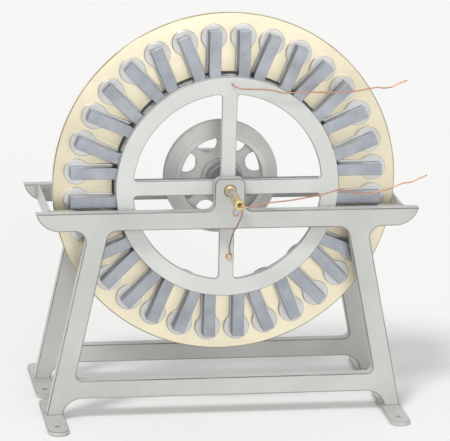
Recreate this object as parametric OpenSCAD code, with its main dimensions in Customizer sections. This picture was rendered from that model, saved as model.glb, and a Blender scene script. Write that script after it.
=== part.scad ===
// Magneto generator. Sixteen compound horseshoe magnets are clamped round a fixed spider,
// and a wheel of coils on a belt-driven shaft turns behind their poles.
// X runs along the stand, -Y is the front and +Z is up. The origin is on the floor,
// under the middle of the whole machine.

/* [End frames] */
// Thickness of an end frame, front to back
frame_t = 34; // [30:1:38]
// Distance from the front face of one end frame to that of the other
frame_pitch = 315; // [300:5:340]
// Height of the top of the upper rail
rail_top = 565; // [550:1:575]
// Depth of the upper rail
rail_h = 48; // [44:1:54]
// Length of the curve under an ear
ear_len = 62; // [54:1:68]
// How far an ear reaches out past the top of its leg
ear_reach = 137; // [132:1:142]
// How far a leg stands in from the end of the ear, at the floor
foot_inset = 29; // [24:1:34]
// Width of a leg, seen from the front
leg_w = 54; // [48:1:60]
// Width of a leg at its foot
ankle_w = 42; // [36:1:46]
// Height of the top of the bottom rail
low_rail_top = 109; // [100:1:120]
// Depth of the bottom rail
low_rail_h = 49; // [42:1:56]
// Radius at the upper corners of the window
window_r = 30; // [20:1:36]
// Radius at the lower corners of the window
window_low_r = 16; // [8:1:22]
// Radius where a leg meets the upper rail outside
knee_r = 30; // [20:1:34]
// Radius of the arch from the bottom rail to the foot
arch_r = 52; // [40:1:54]

/* [Bearing posts] */
// Height of the shaft above the floor
axis_z = 620; // [612:1:626]
// Width of the post that holds a bush
post_w = 80; // [76:1:96]
// Height of the post above the shaft
post_over = 32; // [28:1:40]
// Radius at the top corners of a post
post_top_r = 16; // [8:1:20]
// Radius where a post meets the rail
post_foot_r = 21; // [12:1:30]

/* [Feet] */
// Length of a foot plate, front to back
foot_len = 284; // [260:2:290]
// Width of a foot plate
foot_w = 54; // [48:1:58]
// Thickness of a foot plate
foot_t = 12; // [8:1:14]
// Distance between the two bolt holes in a foot plate
foot_hole_pitch = 190; // [170:2:200]
// Diameter of a foot bolt hole
foot_hole_d = 12; // [9:0.5:14]
// Height of the pad that the leg stands on
foot_pad_h = 8; // [5:1:12]

/* [Side rails] */
// Thickness of a side rail
side_rail_t = 8; // [6:1:10]
// Height of a side rail
side_rail_h = 40; // [34:1:44]
// Distance of a side rail's outer face from the end of the ear
side_rail_inset = 34; // [28:1:38]
// Gap between a side rail and the edge of the coil wheel
rail_gap = 9; // [7:0.5:12]
// Length of the flange that a side rail is bolted by
flange_len = 70; // [64:1:76]
// Diameter of a corner stud
corner_bolt_d = 10; // [8:1:12]

/* [Clamp wheel] */
// Distance from the clamp ring's edge out to the circle of the poles
pole_over = 100; // [94:1:106]
// Radial width of the clamp ring
ring_w = 46; // [42:1:50]
// Thickness of the clamp ring and its spokes
ring_t = 13; // [10:1:15]
// Width of a spoke of the clamp wheel
spoke_w = 40; // [34:1:44]
// Radius where a spoke meets the ring
spoke_r = 10; // [6:1:16]
// Diameter of the boss that is bolted to the front post
boss_d = 64; // [60:1:70]
// Length of that boss
boss_len = 26; // [22:1:28]
// Radial width of the ring behind the magnets
backing_w = 34; // [30:1:38]
// Thickness of the ring behind the magnets
backing_t = 6; // [5:1:7]
// Diameter of a clamp screw
clamp_screw_d = 10; // [8:1:12]

/* [Magnets] */
// Number of horseshoe magnets
magnet_count = 16; // [12:4:16]
// Radius of the circle on which the poles stand
pole_r = 396; // [392:1:402]
// Width of a magnet limb, seen from the front
limb_w = 31; // [28:1:34]
// Thickness of one leaf of a magnet
leaf_t = 8; // [6:0.5:9]
// How far a limb runs out past the middle of its pole
limb_over = 19; // [14:1:22]

/* [Coil wheel] */
// How far the coil wheel's disc reaches out past the circle of the poles
disc_over = 61; // [54:1:66]
// Thickness of the disc
disc_t = 12; // [10:1:16]
// Gap between the magnets and the pole shoes
air_gap = 3; // [2.5:0.5:5]
// Thickness of a pole shoe
shoe_t = 12; // [11:1:15]
// Gap between the round heads of neighbouring pole shoes
shoe_gap = 9.6; // [8:0.2:14]
// Width of a pole shoe's tail
tail_w = 40; // [34:1:42]
// Radius where the tail meets the head
shoe_neck_r = 18; // [10:1:26]
// Thickness of the carrier's arms and ring
carrier_t = 12; // [10:1:16]
// Radial width of the carrier's ring
carrier_w = 75; // [66:1:80]
// Gap between the carrier's ring and the bobbins' cheeks
carrier_gap = 18; // [12:1:24]
// Width of an arm of the carrier
arm_w = 22; // [18:1:26]
// Diameter of the carrier's hub
hub_d = 96; // [84:2:110]
// Length of the carrier's hub
hub_len = 34; // [30:1:40]
// Length of a bobbin
bobbin_len = 36; // [30:1:44]
// Gap between the cheeks of neighbouring bobbins
cheek_gap = 11.6; // [9:0.2:16]
// Thickness of a bobbin's cheek
cheek_t = 4; // [3:0.5:6]
// How far a winding stays below the edge of its cheeks
winding_drop = 3; // [2:0.5:6]
// Diameter of a bobbin's iron core
core_d = 28; // [22:1:32]
// Width of the yoke ring
yoke_w = 60; // [48:1:66]
// Thickness of the yoke ring
yoke_t = 8; // [6:1:12]

/* [Shaft and pulley] */
// Diameter of the shaft between its bearings
shaft_d = 32; // [30:1:36]
// Diameter of the front journal
front_journal_d = 20; // [18:1:22]
// Diameter of the rear journal
rear_journal_d = 24; // [22:1:28]
// Running clearance of a journal in its bush, on the radius
running_fit = 0.05; // [0.03:0.01:0.08]
// Wall of a bush
bush_wall = 4; // [3:0.5:5]
// How far the front journal stands out of its post
journal_out = 75; // [60:1:90]
// Length of the contact ferrule
ferrule_len = 75; // [60:1:85]
// Diameter of the contact ferrule
ferrule_d = 26; // [24:1:30]
// Diameter of the insulated rod in the shaft
rod_d = 5; // [4:0.5:6]
// Wall of the tube that insulates the rod
tube_wall = 2.4; // [1.5:0.1:2.5]
// Outer diameter of the pulley
pulley_d = 306; // [290:2:316]
// Width of the pulley
pulley_w = 52; // [44:1:60]
// Depth of the belt groove
groove_depth = 20; // [14:1:22]
// Diameter inside the pulley's rim
rim_bore_d = 218; // [210:2:224]
// Thickness of the pulley's web
pulley_web_t = 10; // [8:1:16]
// Diameter of the pulley's hub
pulley_hub_d = 110; // [90:2:120]
// Number of holes in the pulley's web
pulley_holes = 8; // [6:1:8]

/* [Wires] */
// Diameter of the two leads
lead_d = 3.6; // [3:0.2:4]
// Diameter of the curled contact wire
spring_d = 3.6; // [3:0.2:4]

/* [Hidden] */
$fn = 96;

// Small values used in more than one place
seat_gap = 0.1;         // between pieces seated in each other without turning
touch_gap = 0.3;        // between faces that nearly touch
nut_t = 7;
nut_ratio = 1.9;        // a nut's width over its corners, in bolt diameters
small_screw_d = 4;      // the contact screw and the earth screw
arc_steps = 8;          // chords in each rounded corner of an outline

// Stations are distances behind the front face of the front frame.
boss_end = frame_t + boss_len;
disc_od = 2 * (pole_r + disc_over);
ring_at = frame_t + 3;
magnet_at = ring_at + ring_t;
backing_at = magnet_at + 3 * leaf_t;
shoe_at = backing_at + air_gap;
disc_at = shoe_at + shoe_t;
carrier_at = disc_at + disc_t;
bobbin_at = carrier_at;
yoke_at = bobbin_at + bobbin_len;
yoke_end = yoke_at + yoke_t;
hub_at = disc_at;
hub_end = hub_at + hub_len;
stud_out = 2;           // a stud stands this far out of its nut
stud_end = yoke_end + nut_t + stud_out;
groove_half = 9;
belt_gap = 3;           // the belt passes this far behind the coils' studs
pulley_at = max(stud_end + belt_gap + groove_half - pulley_w / 2, hub_end + 8);
rear_at = frame_pitch;
flange_t = 6;
collar_len = 14;
ferrule_at = -journal_out - ferrule_len;
rod_out = 1.5;          // the rod stands this far out of the ferrule's end
rod_at = ferrule_at - rod_out;
rear_journal_out = 6;
shaft_end = rear_at + frame_t + rear_journal_out;
washer_t = 3;
shoulder_at = boss_end + washer_t + 2 * touch_gap;

// The front foot tip or the rod, whichever stands further out, and the rear foot tip,
// give the middle of the machine.
front_tip = min(rod_at, frame_t / 2 - foot_len / 2);
rear_tip = rear_at + frame_t / 2 + foot_len / 2;
function station(d) = d - (front_tip + rear_tip) / 2;

// Frame outline
frame_w = disc_od + 2 * (rail_gap + side_rail_t + side_rail_inset);
leg_top_x = frame_w / 2 - ear_reach;
leg_foot_x = frame_w / 2 - foot_inset;
rail_under = rail_top - rail_h;
leg_slope = (leg_foot_x - leg_top_x) / rail_under;
function leg_x(z) = leg_foot_x - leg_slope * z;
post_top = axis_z + post_over;
low_rail_under = low_rail_top - low_rail_h;
ear_steps = 12;          // chords in the curve under an ear
foot_x = leg_x(foot_t) - ankle_w / 2;
foot_pad_side = 2;      // how far the pad stands out beside the leg
foot_pad_end = 4;       // and in front of it and behind it

// Side rails, and the two studs that hold each flange against its ear
side_rail_x = frame_w / 2 - side_rail_inset;
stud_z = rail_top - side_rail_h / 2;
stud_edge = 16;          // from a flange's end, or from the rail's inner face, to the nearest stud
stud_in = 24;            // depth of a corner stud in the casting

// Clamp ring and magnets
ring_r = pole_r - pole_over;
ring_bore_r = ring_r - ring_w;
pole_pitch = 2 * pole_r * sin(90 / magnet_count);
pole_x = pole_r * sin(90 / magnet_count);       // pole's distance from its magnet's middle line
pole_a = pole_r * cos(90 / magnet_count);       // and its distance out along that line
bend_r = pole_x + limb_w / 2;
bend_bore_r = pole_x - limb_w / 2;
bend_inset = 2;         // from the ring's bore to the outside of a bend
bend_a = ring_bore_r + bend_inset + bend_r;
limb_end = pole_a + limb_over;
clamp_screw_a = bend_a - bend_bore_r + clamp_screw_d / 2 + touch_gap;
clamp_screw_in = 8;      // depth of a clamp screw in the ring
clamp_head_t = 5;
clamp_head_d = 17;
boss_bolt_d = 6;
boss_bolt_in = 20;       // depth of a boss bolt in the post
boss_bolt_r = (front_journal_d / 2 + bush_wall + boss_d / 2) / 2;
boss_clearance = 2;      // between the boss and the journal that runs through it
lead_socket = 9;         // depth of the hole in the ring that takes the upper lead
boss_head_t = 2.5;
boss_head_d = 10;

// Pole shoes
shoe_d = pole_pitch - shoe_gap;
tail_gap = 1.2;          // between the tails of neighbouring shoes
tail_reach = 4;          // from the clamp ring to the end of a tail
tail_a = max(ring_r + tail_reach, (pole_x + tail_w / 2 + tail_gap / 2) / tan(180 / magnet_count));
neck_bite = 0.05;        // the neck's arcs cut this far into head and tail
neck_x = tail_w / 2 + shoe_neck_r - neck_bite;
neck_a = sqrt(pow(shoe_d / 2 + shoe_neck_r - neck_bite, 2) - neck_x * neck_x);
tenon_d = 16;
tenon_in_shoe = 6;
stud_d = 10;

// Coil wheel
cheek_d = pole_pitch - cheek_gap;
winding_d = cheek_d - 2 * winding_drop;
disc_bore_r = ring_r + 2;
carrier_r = pole_r - cheek_d / 2 - carrier_gap;
carrier_bore_r = carrier_r - carrier_w;
arm_end = disc_bore_r - 4;      // the arms stop short of the disc's bore
arm_sink = 1;            // and run this far into the ring behind them
rivet_r = (disc_bore_r + carrier_r) / 2;
rivet_d = 8;
rivet_head_d = 14;
rivet_head_t = 4;
key_w = 8;
key_h = 7;
coil_wire_d = 3;
arm_wire_x = 8;          // the two coil wires lie this far either side of the top arm's middle
earth_screw_in = 10;
earth_head_d = 5.4;
earth_head_t = 3;
earth_screw_z = hub_d / 2 - 9;

// Shaft
tube_od = rod_d + 2 * tube_wall;
tube_out = 0.5;          // the tube stands this far out of the ferrule's end
ferrule_seat_d = front_journal_d - 4;
ferrule_end_t = 4;
wire_hole_at = (hub_end + pulley_at) / 2;
wire_hole_d = coil_wire_d + 0.6;
bore_end = wire_hole_at + 5;

// The contact wire's eye lies on the lower spoke, round its screw.
eye_at = ring_at - spring_d / 2 - 2 * touch_gap;
contact_screw_x = 6.5;
contact_screw_z = axis_z - 187;
contact_screw_in = 9;
contact_head_t = 3;
contact_head_d = 11;

// Routes of the wires, as [x, station, height]. Points are round numbers chosen by hand. Heights
// count from the top of the clamp ring for the upper lead, and from the shaft for the other two.
upper_lead_route = [
    [4, 43, -18], [4, 34, -18], [5, 26, -19], [12, 20, -23], [29, 18, -28], [59, 18, -29],
    [88, 18, -30], [114, 18, -34], [137, 18, -40], [163, 18, -39], [212, 18, -39], [260, 18, -40],
    [301, 18, -40], [331, 18, -37], [355, 18, -33], [384, 18, -28], [405, 18, -30], [425, 18, -27],
    [443, 18, -18], [465, 18, -10]
];
lower_lead_route = [
    [0, -152, 0], [1, -160, 0], [7, -168, 0], [19, -171, 1], [37, -168, 5], [76, -164, 10],
    [121, -160, 13], [151, -156, 16], [181, -152, 20], [211, -148, 24], [241, -144, 31],
    [262, -140, 35], [276, -140, 33], [297, -140, 26], [321, -140, 22], [342, -140, 23],
    [369, -140, 29], [396, -140, 36], [416, -140, 45], [432, -140, 50], [450, -140, 52],
    [470, -140, 61], [491, -140, 70]
];
contact_wire_route = [
    [3, eye_at, -182], [0, eye_at, -187], [4, eye_at, -193], [11, eye_at, -192], [13, eye_at, -185],
    [9, 32, -178], [7, 27, -169], [5, 20, -156], [5, 8, -141], [5, -10, -123], [6, -32, -104],
    [9, -60, -81], [11, -86, -60], [13, -106, -41], [14, -112, -26], [9, -112, -17],
    [0, -112, -15.4], [-8, -112, -21], [-9, -112, -32], [-3, -112, -39], [3, -112, -33]
];

// Smooth curve through the points of a route, then a tube of flat faces along it
function route_point(p, i) = p[min(max(i, 0), len(p) - 1)];
function curve_at(p, i, t) =
    let (a = route_point(p, i - 1), b = p[i], c = p[i + 1], d = route_point(p, i + 2))
    0.5 * (2 * b + (c - a) * t + (2 * a - 5 * b + 4 * c - d) * t * t
           + (3 * b - a - 3 * c + d) * t * t * t);
function smooth_route(p, n) = concat(
    [for (i = [0 : len(p) - 2]) for (k = [0 : n - 1]) curve_at(p, i, k / n)], [p[len(p) - 1]]);
function unit(v) = v / norm(v);
function heading(p, i) = unit(route_point(p, i + 1) - route_point(p, i - 1));
function tube_ring(p, i, d, sides, side_dir) =
    let (t = heading(p, i), u = unit(cross(t, side_dir)), v = cross(u, t))
    [for (k = [0 : sides - 1]) p[i] + d / 2 * (cos(360 * k / sides) * u + sin(360 * k / sides) * v)];
module wire(route, d, n, side_dir, sides = 8) {
    path = [for (q = smooth_route(route, n)) [q[0], station(q[1]), q[2]]];
    rings = len(path);
    points = [for (i = [0 : rings - 1]) each tube_ring(path, i, d, sides, side_dir)];
    walls = [for (i = [0 : rings - 2]) for (k = [0 : sides - 1])
        let (a = i * sides, b = a + sides, next = (k + 1) % sides)
        [a + k, a + next, b + next, b + k]];
    first = [for (k = [sides - 1 : -1 : 0]) k];
    last = [for (k = [0 : sides - 1]) (rings - 1) * sides + k];
    polyhedron(points, concat([first], walls, [last]), convexity = 10);
}

// An outline of [x, z, corner radius] becomes points, with each round corner as an arc.
function corner_arc(a, p, b, r) =
    let (u = unit(a - p), v = unit(b - p), half = acos(u * v) / 2,
         c = p + unit(u + v) * (r / sin(half)),
         s = p + u * (r / tan(half)) - c, e = p + v * (r / tan(half)) - c,
         from = atan2(s[1], s[0]), turn = atan2(s[0] * e[1] - s[1] * e[0], s * e))
    [for (k = [0 : arc_steps]) let (g = from + turn * k / arc_steps) c + r * [cos(g), sin(g)]];
function xz(q) = [q[0], q[1]];
function rounded(q) = [for (i = [0 : len(q) - 1])
    let (n = len(q)) each (q[i][2] == 0 ? [xz(q[i])]
        : corner_arc(xz(q[(i + n - 1) % n]), xz(q[i]), xz(q[(i + 1) % n]), q[i][2]))];
function both_sides(half) =
    concat(half, [for (i = [len(half) - 1 : -1 : 0]) [-half[i][0], half[i][1], half[i][2]]]);

// Things drawn in the plane of a frame, from one station to another
module slab(from, to) {
    translate([0, station(to), 0]) rotate([90, 0, 0]) linear_extrude(to - from) children();
}
module wheel_slab(from, to) {
    translate([0, station(to), axis_z]) rotate([90, 0, 0]) linear_extrude(to - from) children();
}
module disc_2d(r_out, r_in = 0) {
    difference() {
        circle(r_out);
        if (r_in > 0) circle(r_in);
    }
}
// A round or hexagonal rod along the shaft's direction, at a place in the frame's plane
module rod_y(d, from, to, sides = 96) {
    translate([0, station(to), 0]) rotate([90, 0, 0]) cylinder(d = d, h = to - from, $fn = sides);
}
module on_axis() { translate([0, 0, axis_z]) children(); }
module at_magnets() {
    for (k = [0 : magnet_count - 1]) rotate(360 / magnet_count * k) children();
}
module at_poles() {
    for (k = [0 : 2 * magnet_count - 1])
        rotate([0, -180 / magnet_count * (k + 0.5), 0]) translate([0, 0, pole_r]) children();
}
// A straight wire between two points, each [x, station, z]
module wire_run(a, b, d) {
    p = [a[0], station(a[1]), a[2]];
    v = [b[0] - a[0], b[1] - a[1], b[2] - a[2]];
    translate(p) rotate([0, acos(v[2] / norm(v)), atan2(v[1], v[0])])
        cylinder(d = d, h = norm(v), $fn = 24);
}

// End frames. The curve under an ear is one arc from its tip, level where it meets the rail.
function ear_curve() =
    let (r = (ear_len * ear_len + rail_h * rail_h) / (2 * rail_h),
         c = [frame_w / 2 - ear_len, rail_under + r], from = atan2(rail_top - c[1], ear_len))
    [for (k = [0 : ear_steps]) let (a = from + (-90 - from) * k / ear_steps)
        [c[0] + r * cos(a), c[1] + r * sin(a), 0]];
module frame_outline() {
    polygon(rounded(both_sides([
        [post_w / 2, post_top, post_top_r],
        [post_w / 2, rail_top, post_foot_r],
        each ear_curve(),
        [leg_top_x, rail_under, knee_r],
        [leg_x(foot_t), foot_t, 0],
        [leg_x(foot_t) - ankle_w, foot_t, 0],
        [leg_x(low_rail_under) - ankle_w, low_rail_under, arch_r]
    ])));
}
module window_outline() {
    polygon(rounded(both_sides([
        [leg_x(rail_under) - leg_w, rail_under, window_r],
        [leg_x(low_rail_top) - leg_w, low_rail_top, window_low_r]
    ])));
}
module foot(from, s) {
    mid = from + frame_t / 2;
    straight = foot_len - foot_w;
    pad_w = ankle_w + 2 * foot_pad_side;
    pad_len = frame_t + 2 * foot_pad_end;
    difference() {
        union() {
            translate([s * foot_x - foot_w / 2, station(mid) - straight / 2, 0])
                cube([foot_w, straight, foot_t]);
            for (e = [-1, 1])
                translate([s * foot_x, station(mid) + e * straight / 2, 0])
                    cylinder(d = foot_w, h = foot_t);
            translate([s * foot_x - pad_w / 2, station(mid) - pad_len / 2, 0])
                cube([pad_w, pad_len, foot_t + foot_pad_h]);
        }
        for (e = [-1, 1])
            translate([s * foot_x, station(mid) + e * foot_hole_pitch / 2, -1])
                cylinder(d = foot_hole_d, h = foot_t + 2);
    }
}
// inner is the station of the face that the side rails lie on.
module end_frame(from, bore_d, inner) {
    behind = inner > from;
    difference() {
        union() {
            slab(from, from + frame_t) difference() {
                frame_outline();
                window_outline();
            }
            for (s = [-1, 1]) foot(from, s);
        }
        on_axis() rod_y(bore_d, from - 1, from + frame_t + 1);
        at_corner_bolts() rod_y(corner_bolt_d + 2 * seat_gap,
            behind ? inner - stud_in : inner - 1, behind ? inner + 1 : inner + stud_in);
    }
}
bush_front_d = front_journal_d + 2 * bush_wall;
bush_rear_d = rear_journal_d + 2 * bush_wall;
module front_frame() {
    color("slategray") difference() {
        end_frame(0, bush_front_d + 2 * seat_gap, frame_t);
        on_axis() boss_bolt_places()
            rod_y(boss_bolt_d + 2 * seat_gap, frame_t - boss_bolt_in - 2, frame_t + 1);
    }
}
module rear_frame() {
    color("slategray") end_frame(rear_at, bush_rear_d + 2 * seat_gap, rear_at);
}

// Side rails, each one plate with a flange at either end that lies behind the ear of its frame
module side_rail_flange(s, at) {
    inner_x = side_rail_x - flange_len;
    slab(at, at + side_rail_t) mirror([s < 0 ? 1 : 0, 0]) polygon(rounded([
        [side_rail_x, rail_top, 0], [inner_x, rail_top, 4],
        [inner_x, rail_top - side_rail_h, 14], [side_rail_x, rail_top - side_rail_h, 0]
    ]));
}
module side_rail(s) {
    color("slategray") difference() {
        union() {
            slab(frame_t, rear_at)
                translate([s > 0 ? side_rail_x - side_rail_t : -side_rail_x, rail_top - side_rail_h])
                    square([side_rail_t, side_rail_h]);
            side_rail_flange(s, frame_t);
            side_rail_flange(s, rear_at - side_rail_t);
        }
        at_corner_bolts() rod_y(corner_bolt_d + 2 * seat_gap, frame_t - 1, rear_at + 1);
    }
}
module left_side_rail() { side_rail(-1); }
module right_side_rail() { side_rail(1); }

// Corner studs, screwed into the castings from the inside
module at_corner_bolts() {
    for (s = [-1, 1]) for (x = [side_rail_x - flange_len + stud_edge, side_rail_x - side_rail_t - stud_edge])
        translate([s * x, 0, stud_z]) children();
}
stud_tip = frame_t + side_rail_t + nut_t + stud_out;
module front_corner_bolts() {
    color("gainsboro") at_corner_bolts() rod_y(corner_bolt_d, frame_t - stud_in + 1, stud_tip);
}
module rear_corner_bolts() {
    color("gainsboro") at_corner_bolts()
        rod_y(corner_bolt_d, rear_at + frame_t - stud_tip, rear_at + stud_in - 1);
}
module corner_nut(at) {
    difference() {
        rod_y(corner_bolt_d * nut_ratio, at, at + nut_t, 6);
        rod_y(corner_bolt_d + 2 * seat_gap, at - 1, at + nut_t + 1);
    }
}
module front_corner_nuts() { color("gainsboro") at_corner_bolts() corner_nut(frame_t + side_rail_t); }
module rear_corner_nuts() { color("gainsboro") at_corner_bolts() corner_nut(rear_at - side_rail_t - nut_t); }

// Bearings
module front_bush() {
    color("goldenrod") on_axis() difference() {
        rod_y(bush_front_d, 0, frame_t);
        rod_y(front_journal_d + 2 * running_fit, -1, frame_t + 1);
    }
}
module rear_bush() {
    color("goldenrod") on_axis() difference() {
        union() {
            rod_y(bush_rear_d, rear_at, rear_at + frame_t);
            rod_y(bush_rear_d + 12, rear_at - flange_t, rear_at);
        }
        rod_y(rear_journal_d + 2 * running_fit, rear_at - flange_t - 1, rear_at + frame_t + 1);
    }
}
module thrust_washer() {
    color("goldenrod") on_axis() difference() {
        rod_y(shaft_d - 1, boss_end, boss_end + washer_t);
        rod_y(front_journal_d + 1, boss_end - 1, boss_end + washer_t + 1);
    }
}

// The clamp wheel's ring and its four spokes
module spoked_ring(from, to, r_out) {
    t = to - from;
    lap = 4;                                     // the spokes run this far into the ring
    bite = 0.05;                                 // the corner arcs cut this far into ring and spoke
    reach = ring_bore_r - spoke_r + bite;        // the corner arcs are centred at this radius
    corner_x = spoke_w / 2 + spoke_r - bite;
    corner_a = sqrt(reach * reach - corner_x * corner_x);
    out = (ring_bore_r + 1) / reach;
    translate([0, station(to), axis_z]) rotate([90, 0, 0]) difference() {
        union() {
            linear_extrude(t) disc_2d(r_out, ring_bore_r);
            for (k = [0, 1]) rotate(90 * k) translate([-spoke_w / 2, -ring_bore_r - lap, 0])
                cube([spoke_w, 2 * (ring_bore_r + lap), t]);
            for (k = [0 : 3]) rotate(90 * k) linear_extrude(t) polygon([
                [-corner_x, corner_a], [corner_x, corner_a], [corner_x * out, corner_a * out],
                [0, ring_bore_r + lap], [-corner_x * out, corner_a * out]
            ]);
        }
        for (k = [0 : 3]) rotate(90 * k) for (s = [-1, 1])
            translate([s * corner_x, corner_a, -1]) cylinder(r = spoke_r, h = t + 2);
    }
}

// Clamp wheel: the ring over the bends of the magnets, four spokes and a boss
module boss_bolt_places() {
    for (k = [0 : 3]) rotate([0, 45 + 90 * k, 0]) translate([boss_bolt_r, 0, 0]) children();
}
module at_clamp_screws() {
    for (k = [0 : magnet_count - 1])
        rotate([0, -360 / magnet_count * k, 0]) translate([0, 0, clamp_screw_a]) children();
}
module clamp_wheel() {
    color("dimgray") difference() {
        union() {
            spoked_ring(ring_at, ring_at + ring_t, ring_r);
            on_axis() rod_y(boss_d, frame_t, boss_end);
        }
        on_axis() {
            rod_y(front_journal_d + 2 * boss_clearance, frame_t - 1, boss_end + 1);
            boss_bolt_places() rod_y(boss_bolt_d + 2 * seat_gap, frame_t - 1, boss_end + 1);
            at_clamp_screws()
                rod_y(clamp_screw_d + 2 * seat_gap, magnet_at - clamp_screw_in - 1, magnet_at + 1);
        }
        translate([upper_lead_route[0][0], 0, axis_z + ring_r + upper_lead_route[0][2]])
            rod_y(lead_d + 2 * touch_gap, ring_at - 1, ring_at + lead_socket);
        translate([contact_screw_x, 0, contact_screw_z])
            rod_y(small_screw_d + 2 * seat_gap, ring_at - 1, ring_at + contact_screw_in + 1);
    }
}
module boss_bolts() {
    color("gainsboro") on_axis() boss_bolt_places() {
        rod_y(boss_bolt_d, frame_t - boss_bolt_in, boss_end);
        rod_y(boss_head_d, boss_end, boss_end + boss_head_t, 6);
    }
}
module backing_ring() {
    color("dimgray") difference() {
        wheel_slab(backing_at, backing_at + backing_t) disc_2d(ring_r, ring_r - backing_w);
        on_axis() at_clamp_screws()
            rod_y(clamp_screw_d + 2 * seat_gap, backing_at - 1, backing_at + backing_t + 1);
    }
}
module clamp_screws() {
    head_at = backing_at + backing_t;
    color("gainsboro") on_axis() at_clamp_screws() {
        rod_y(clamp_screw_d, magnet_at - clamp_screw_in, head_at);
        rod_y(clamp_head_d, head_at, head_at + clamp_head_t, 6);
    }
}

// Magnets: three leaves of the same horseshoe outline, one behind the other
module horseshoe_2d() {
    difference() {
        union() {
            translate([0, bend_a]) circle(bend_r);
            translate([-bend_r, bend_a]) square([2 * bend_r, limb_end - bend_a]);
        }
        translate([0, bend_a]) circle(bend_bore_r);
        translate([-bend_bore_r, bend_a]) square([2 * bend_bore_r, limb_end - bend_a + 1]);
    }
}
module magnet_leaves(layer) {
    wheel_slab(magnet_at + layer * leaf_t, magnet_at + (layer + 1) * leaf_t) at_magnets() horseshoe_2d();
}
module front_magnet_leaves() { color("lightsteelblue") magnet_leaves(0); }
module middle_magnet_leaves() { color("lightsteelblue") magnet_leaves(1); }
module rear_magnet_leaves() { color("lightsteelblue") magnet_leaves(2); }

// Contact wire and its screw on the lower spoke, and the two leads
module contact_wire() { color("peru") on_axis() wire(contact_wire_route, spring_d, 3, [0, 1, 0]); }
module contact_screw() {
    eye_front = eye_at - spring_d / 2 - touch_gap;
    color("goldenrod") translate([contact_screw_x, 0, contact_screw_z]) {
        rod_y(small_screw_d, eye_front, ring_at + contact_screw_in);
        rod_y(contact_head_d, eye_front - contact_head_t, eye_front);
    }
}
module upper_lead() {
    color("peru") translate([0, 0, axis_z + ring_r]) wire(upper_lead_route, lead_d, 2, [0, 0, 1]);
}
module lower_lead() { color("peru") on_axis() wire(lower_lead_route, lead_d, 2, [0, 0, 1]); }

// Shaft, with the insulated rod that brings one end of the coils out at the front
module shaft() {
    color("silver") on_axis() difference() {
        union() {
            rod_y(ferrule_seat_d, ferrule_at + ferrule_end_t, -journal_out);
            rod_y(front_journal_d, -journal_out, shoulder_at);
            rod_y(shaft_d, shoulder_at, rear_at - flange_t - touch_gap);
            rod_y(rear_journal_d, rear_at - flange_t - touch_gap, shaft_end);
        }
        rod_y(tube_od + 2 * seat_gap, ferrule_at, bore_end);
        translate([0, station(wire_hole_at), 0]) cylinder(d = wire_hole_d, h = shaft_d);
        key_space(hub_at, hub_end);
        key_space(pulley_at, pulley_at + pulley_w);
    }
}
// Room for a key, half in the shaft and half in what it drives
module key_space(from, to) {
    rotate([0, 180, 0]) translate([-key_w / 2, station(from), shaft_d / 2 - key_h / 2])
        cube([key_w, to - from, key_h]);
}
module key(from, to) {
    rotate([0, 180, 0])
        translate([-key_w / 2 + seat_gap, station(from) + 1, shaft_d / 2 - key_h / 2 + seat_gap])
            cube([key_w - 2 * seat_gap, to - from - 2, key_h - 2 * seat_gap]);
}
module ferrule() {
    color("goldenrod") on_axis() difference() {
        rod_y(ferrule_d, ferrule_at, -journal_out);
        rod_y(ferrule_seat_d + 2 * seat_gap, ferrule_at + ferrule_end_t - seat_gap, 1 - journal_out);
        rod_y(tube_od + 2 * seat_gap, ferrule_at - 1, ferrule_at + ferrule_end_t);
    }
}
module insulating_tube() {
    color("saddlebrown") on_axis() difference() {
        rod_y(tube_od, ferrule_at - tube_out, bore_end - tube_out);
        rod_y(rod_d + 2 * seat_gap, ferrule_at - 1, bore_end);
        translate([0, station(wire_hole_at), 0]) cylinder(d = wire_hole_d, h = shaft_d);
    }
}
module contact_rod() {
    color("goldenrod") on_axis() rod_y(rod_d, rod_at, bore_end - 1);
}

// Coil wheel
module pole_shoe() {
    tail_y = tail_a - pole_a;
    difference() {
        union() {
            cylinder(d = shoe_d, h = shoe_t);
            linear_extrude(shoe_t) polygon([
                [0, 0], [neck_x, -neck_a], [tail_w / 2, -neck_a], [tail_w / 2, tail_y],
                [-tail_w / 2, tail_y], [-tail_w / 2, -neck_a], [-neck_x, -neck_a]
            ]);
        }
        for (s = [-1, 1]) translate([s * neck_x, -neck_a, -1]) cylinder(r = shoe_neck_r, h = shoe_t + 2);
    }
}
module pole_shoes() {
    color("lightgray") difference() {
        translate([0, station(disc_at), axis_z]) rotate([90, 0, 0]) at_magnets()
            for (s = [-1, 1]) translate([s * pole_x, pole_a, 0]) pole_shoe();
        on_axis() at_poles() rod_y(tenon_d + 2 * seat_gap, disc_at - tenon_in_shoe, disc_at + 1);
    }
}
module armature_disc() {
    color("khaki") difference() {
        wheel_slab(disc_at, carrier_at) disc_2d(disc_od / 2, disc_bore_r);
        on_axis() {
            at_poles() rod_y(tenon_d + 2 * seat_gap, disc_at - 1, carrier_at + 1);
            at_rivets() rod_y(rivet_d + 2 * seat_gap, disc_at - 1, carrier_at + 1);
        }
    }
}
module at_rivets() {
    for (k = [0 : magnet_count - 1])
        rotate([0, -360 / magnet_count * (k + 0.5), 0]) translate([0, 0, rivet_r]) children();
}
module disc_rivets() {
    color("goldenrod") on_axis() at_rivets() {
        rod_y(rivet_d, disc_at, carrier_at + carrier_t);
        rod_y(rivet_head_d, carrier_at + carrier_t, carrier_at + carrier_t + rivet_head_t);
    }
}
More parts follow.
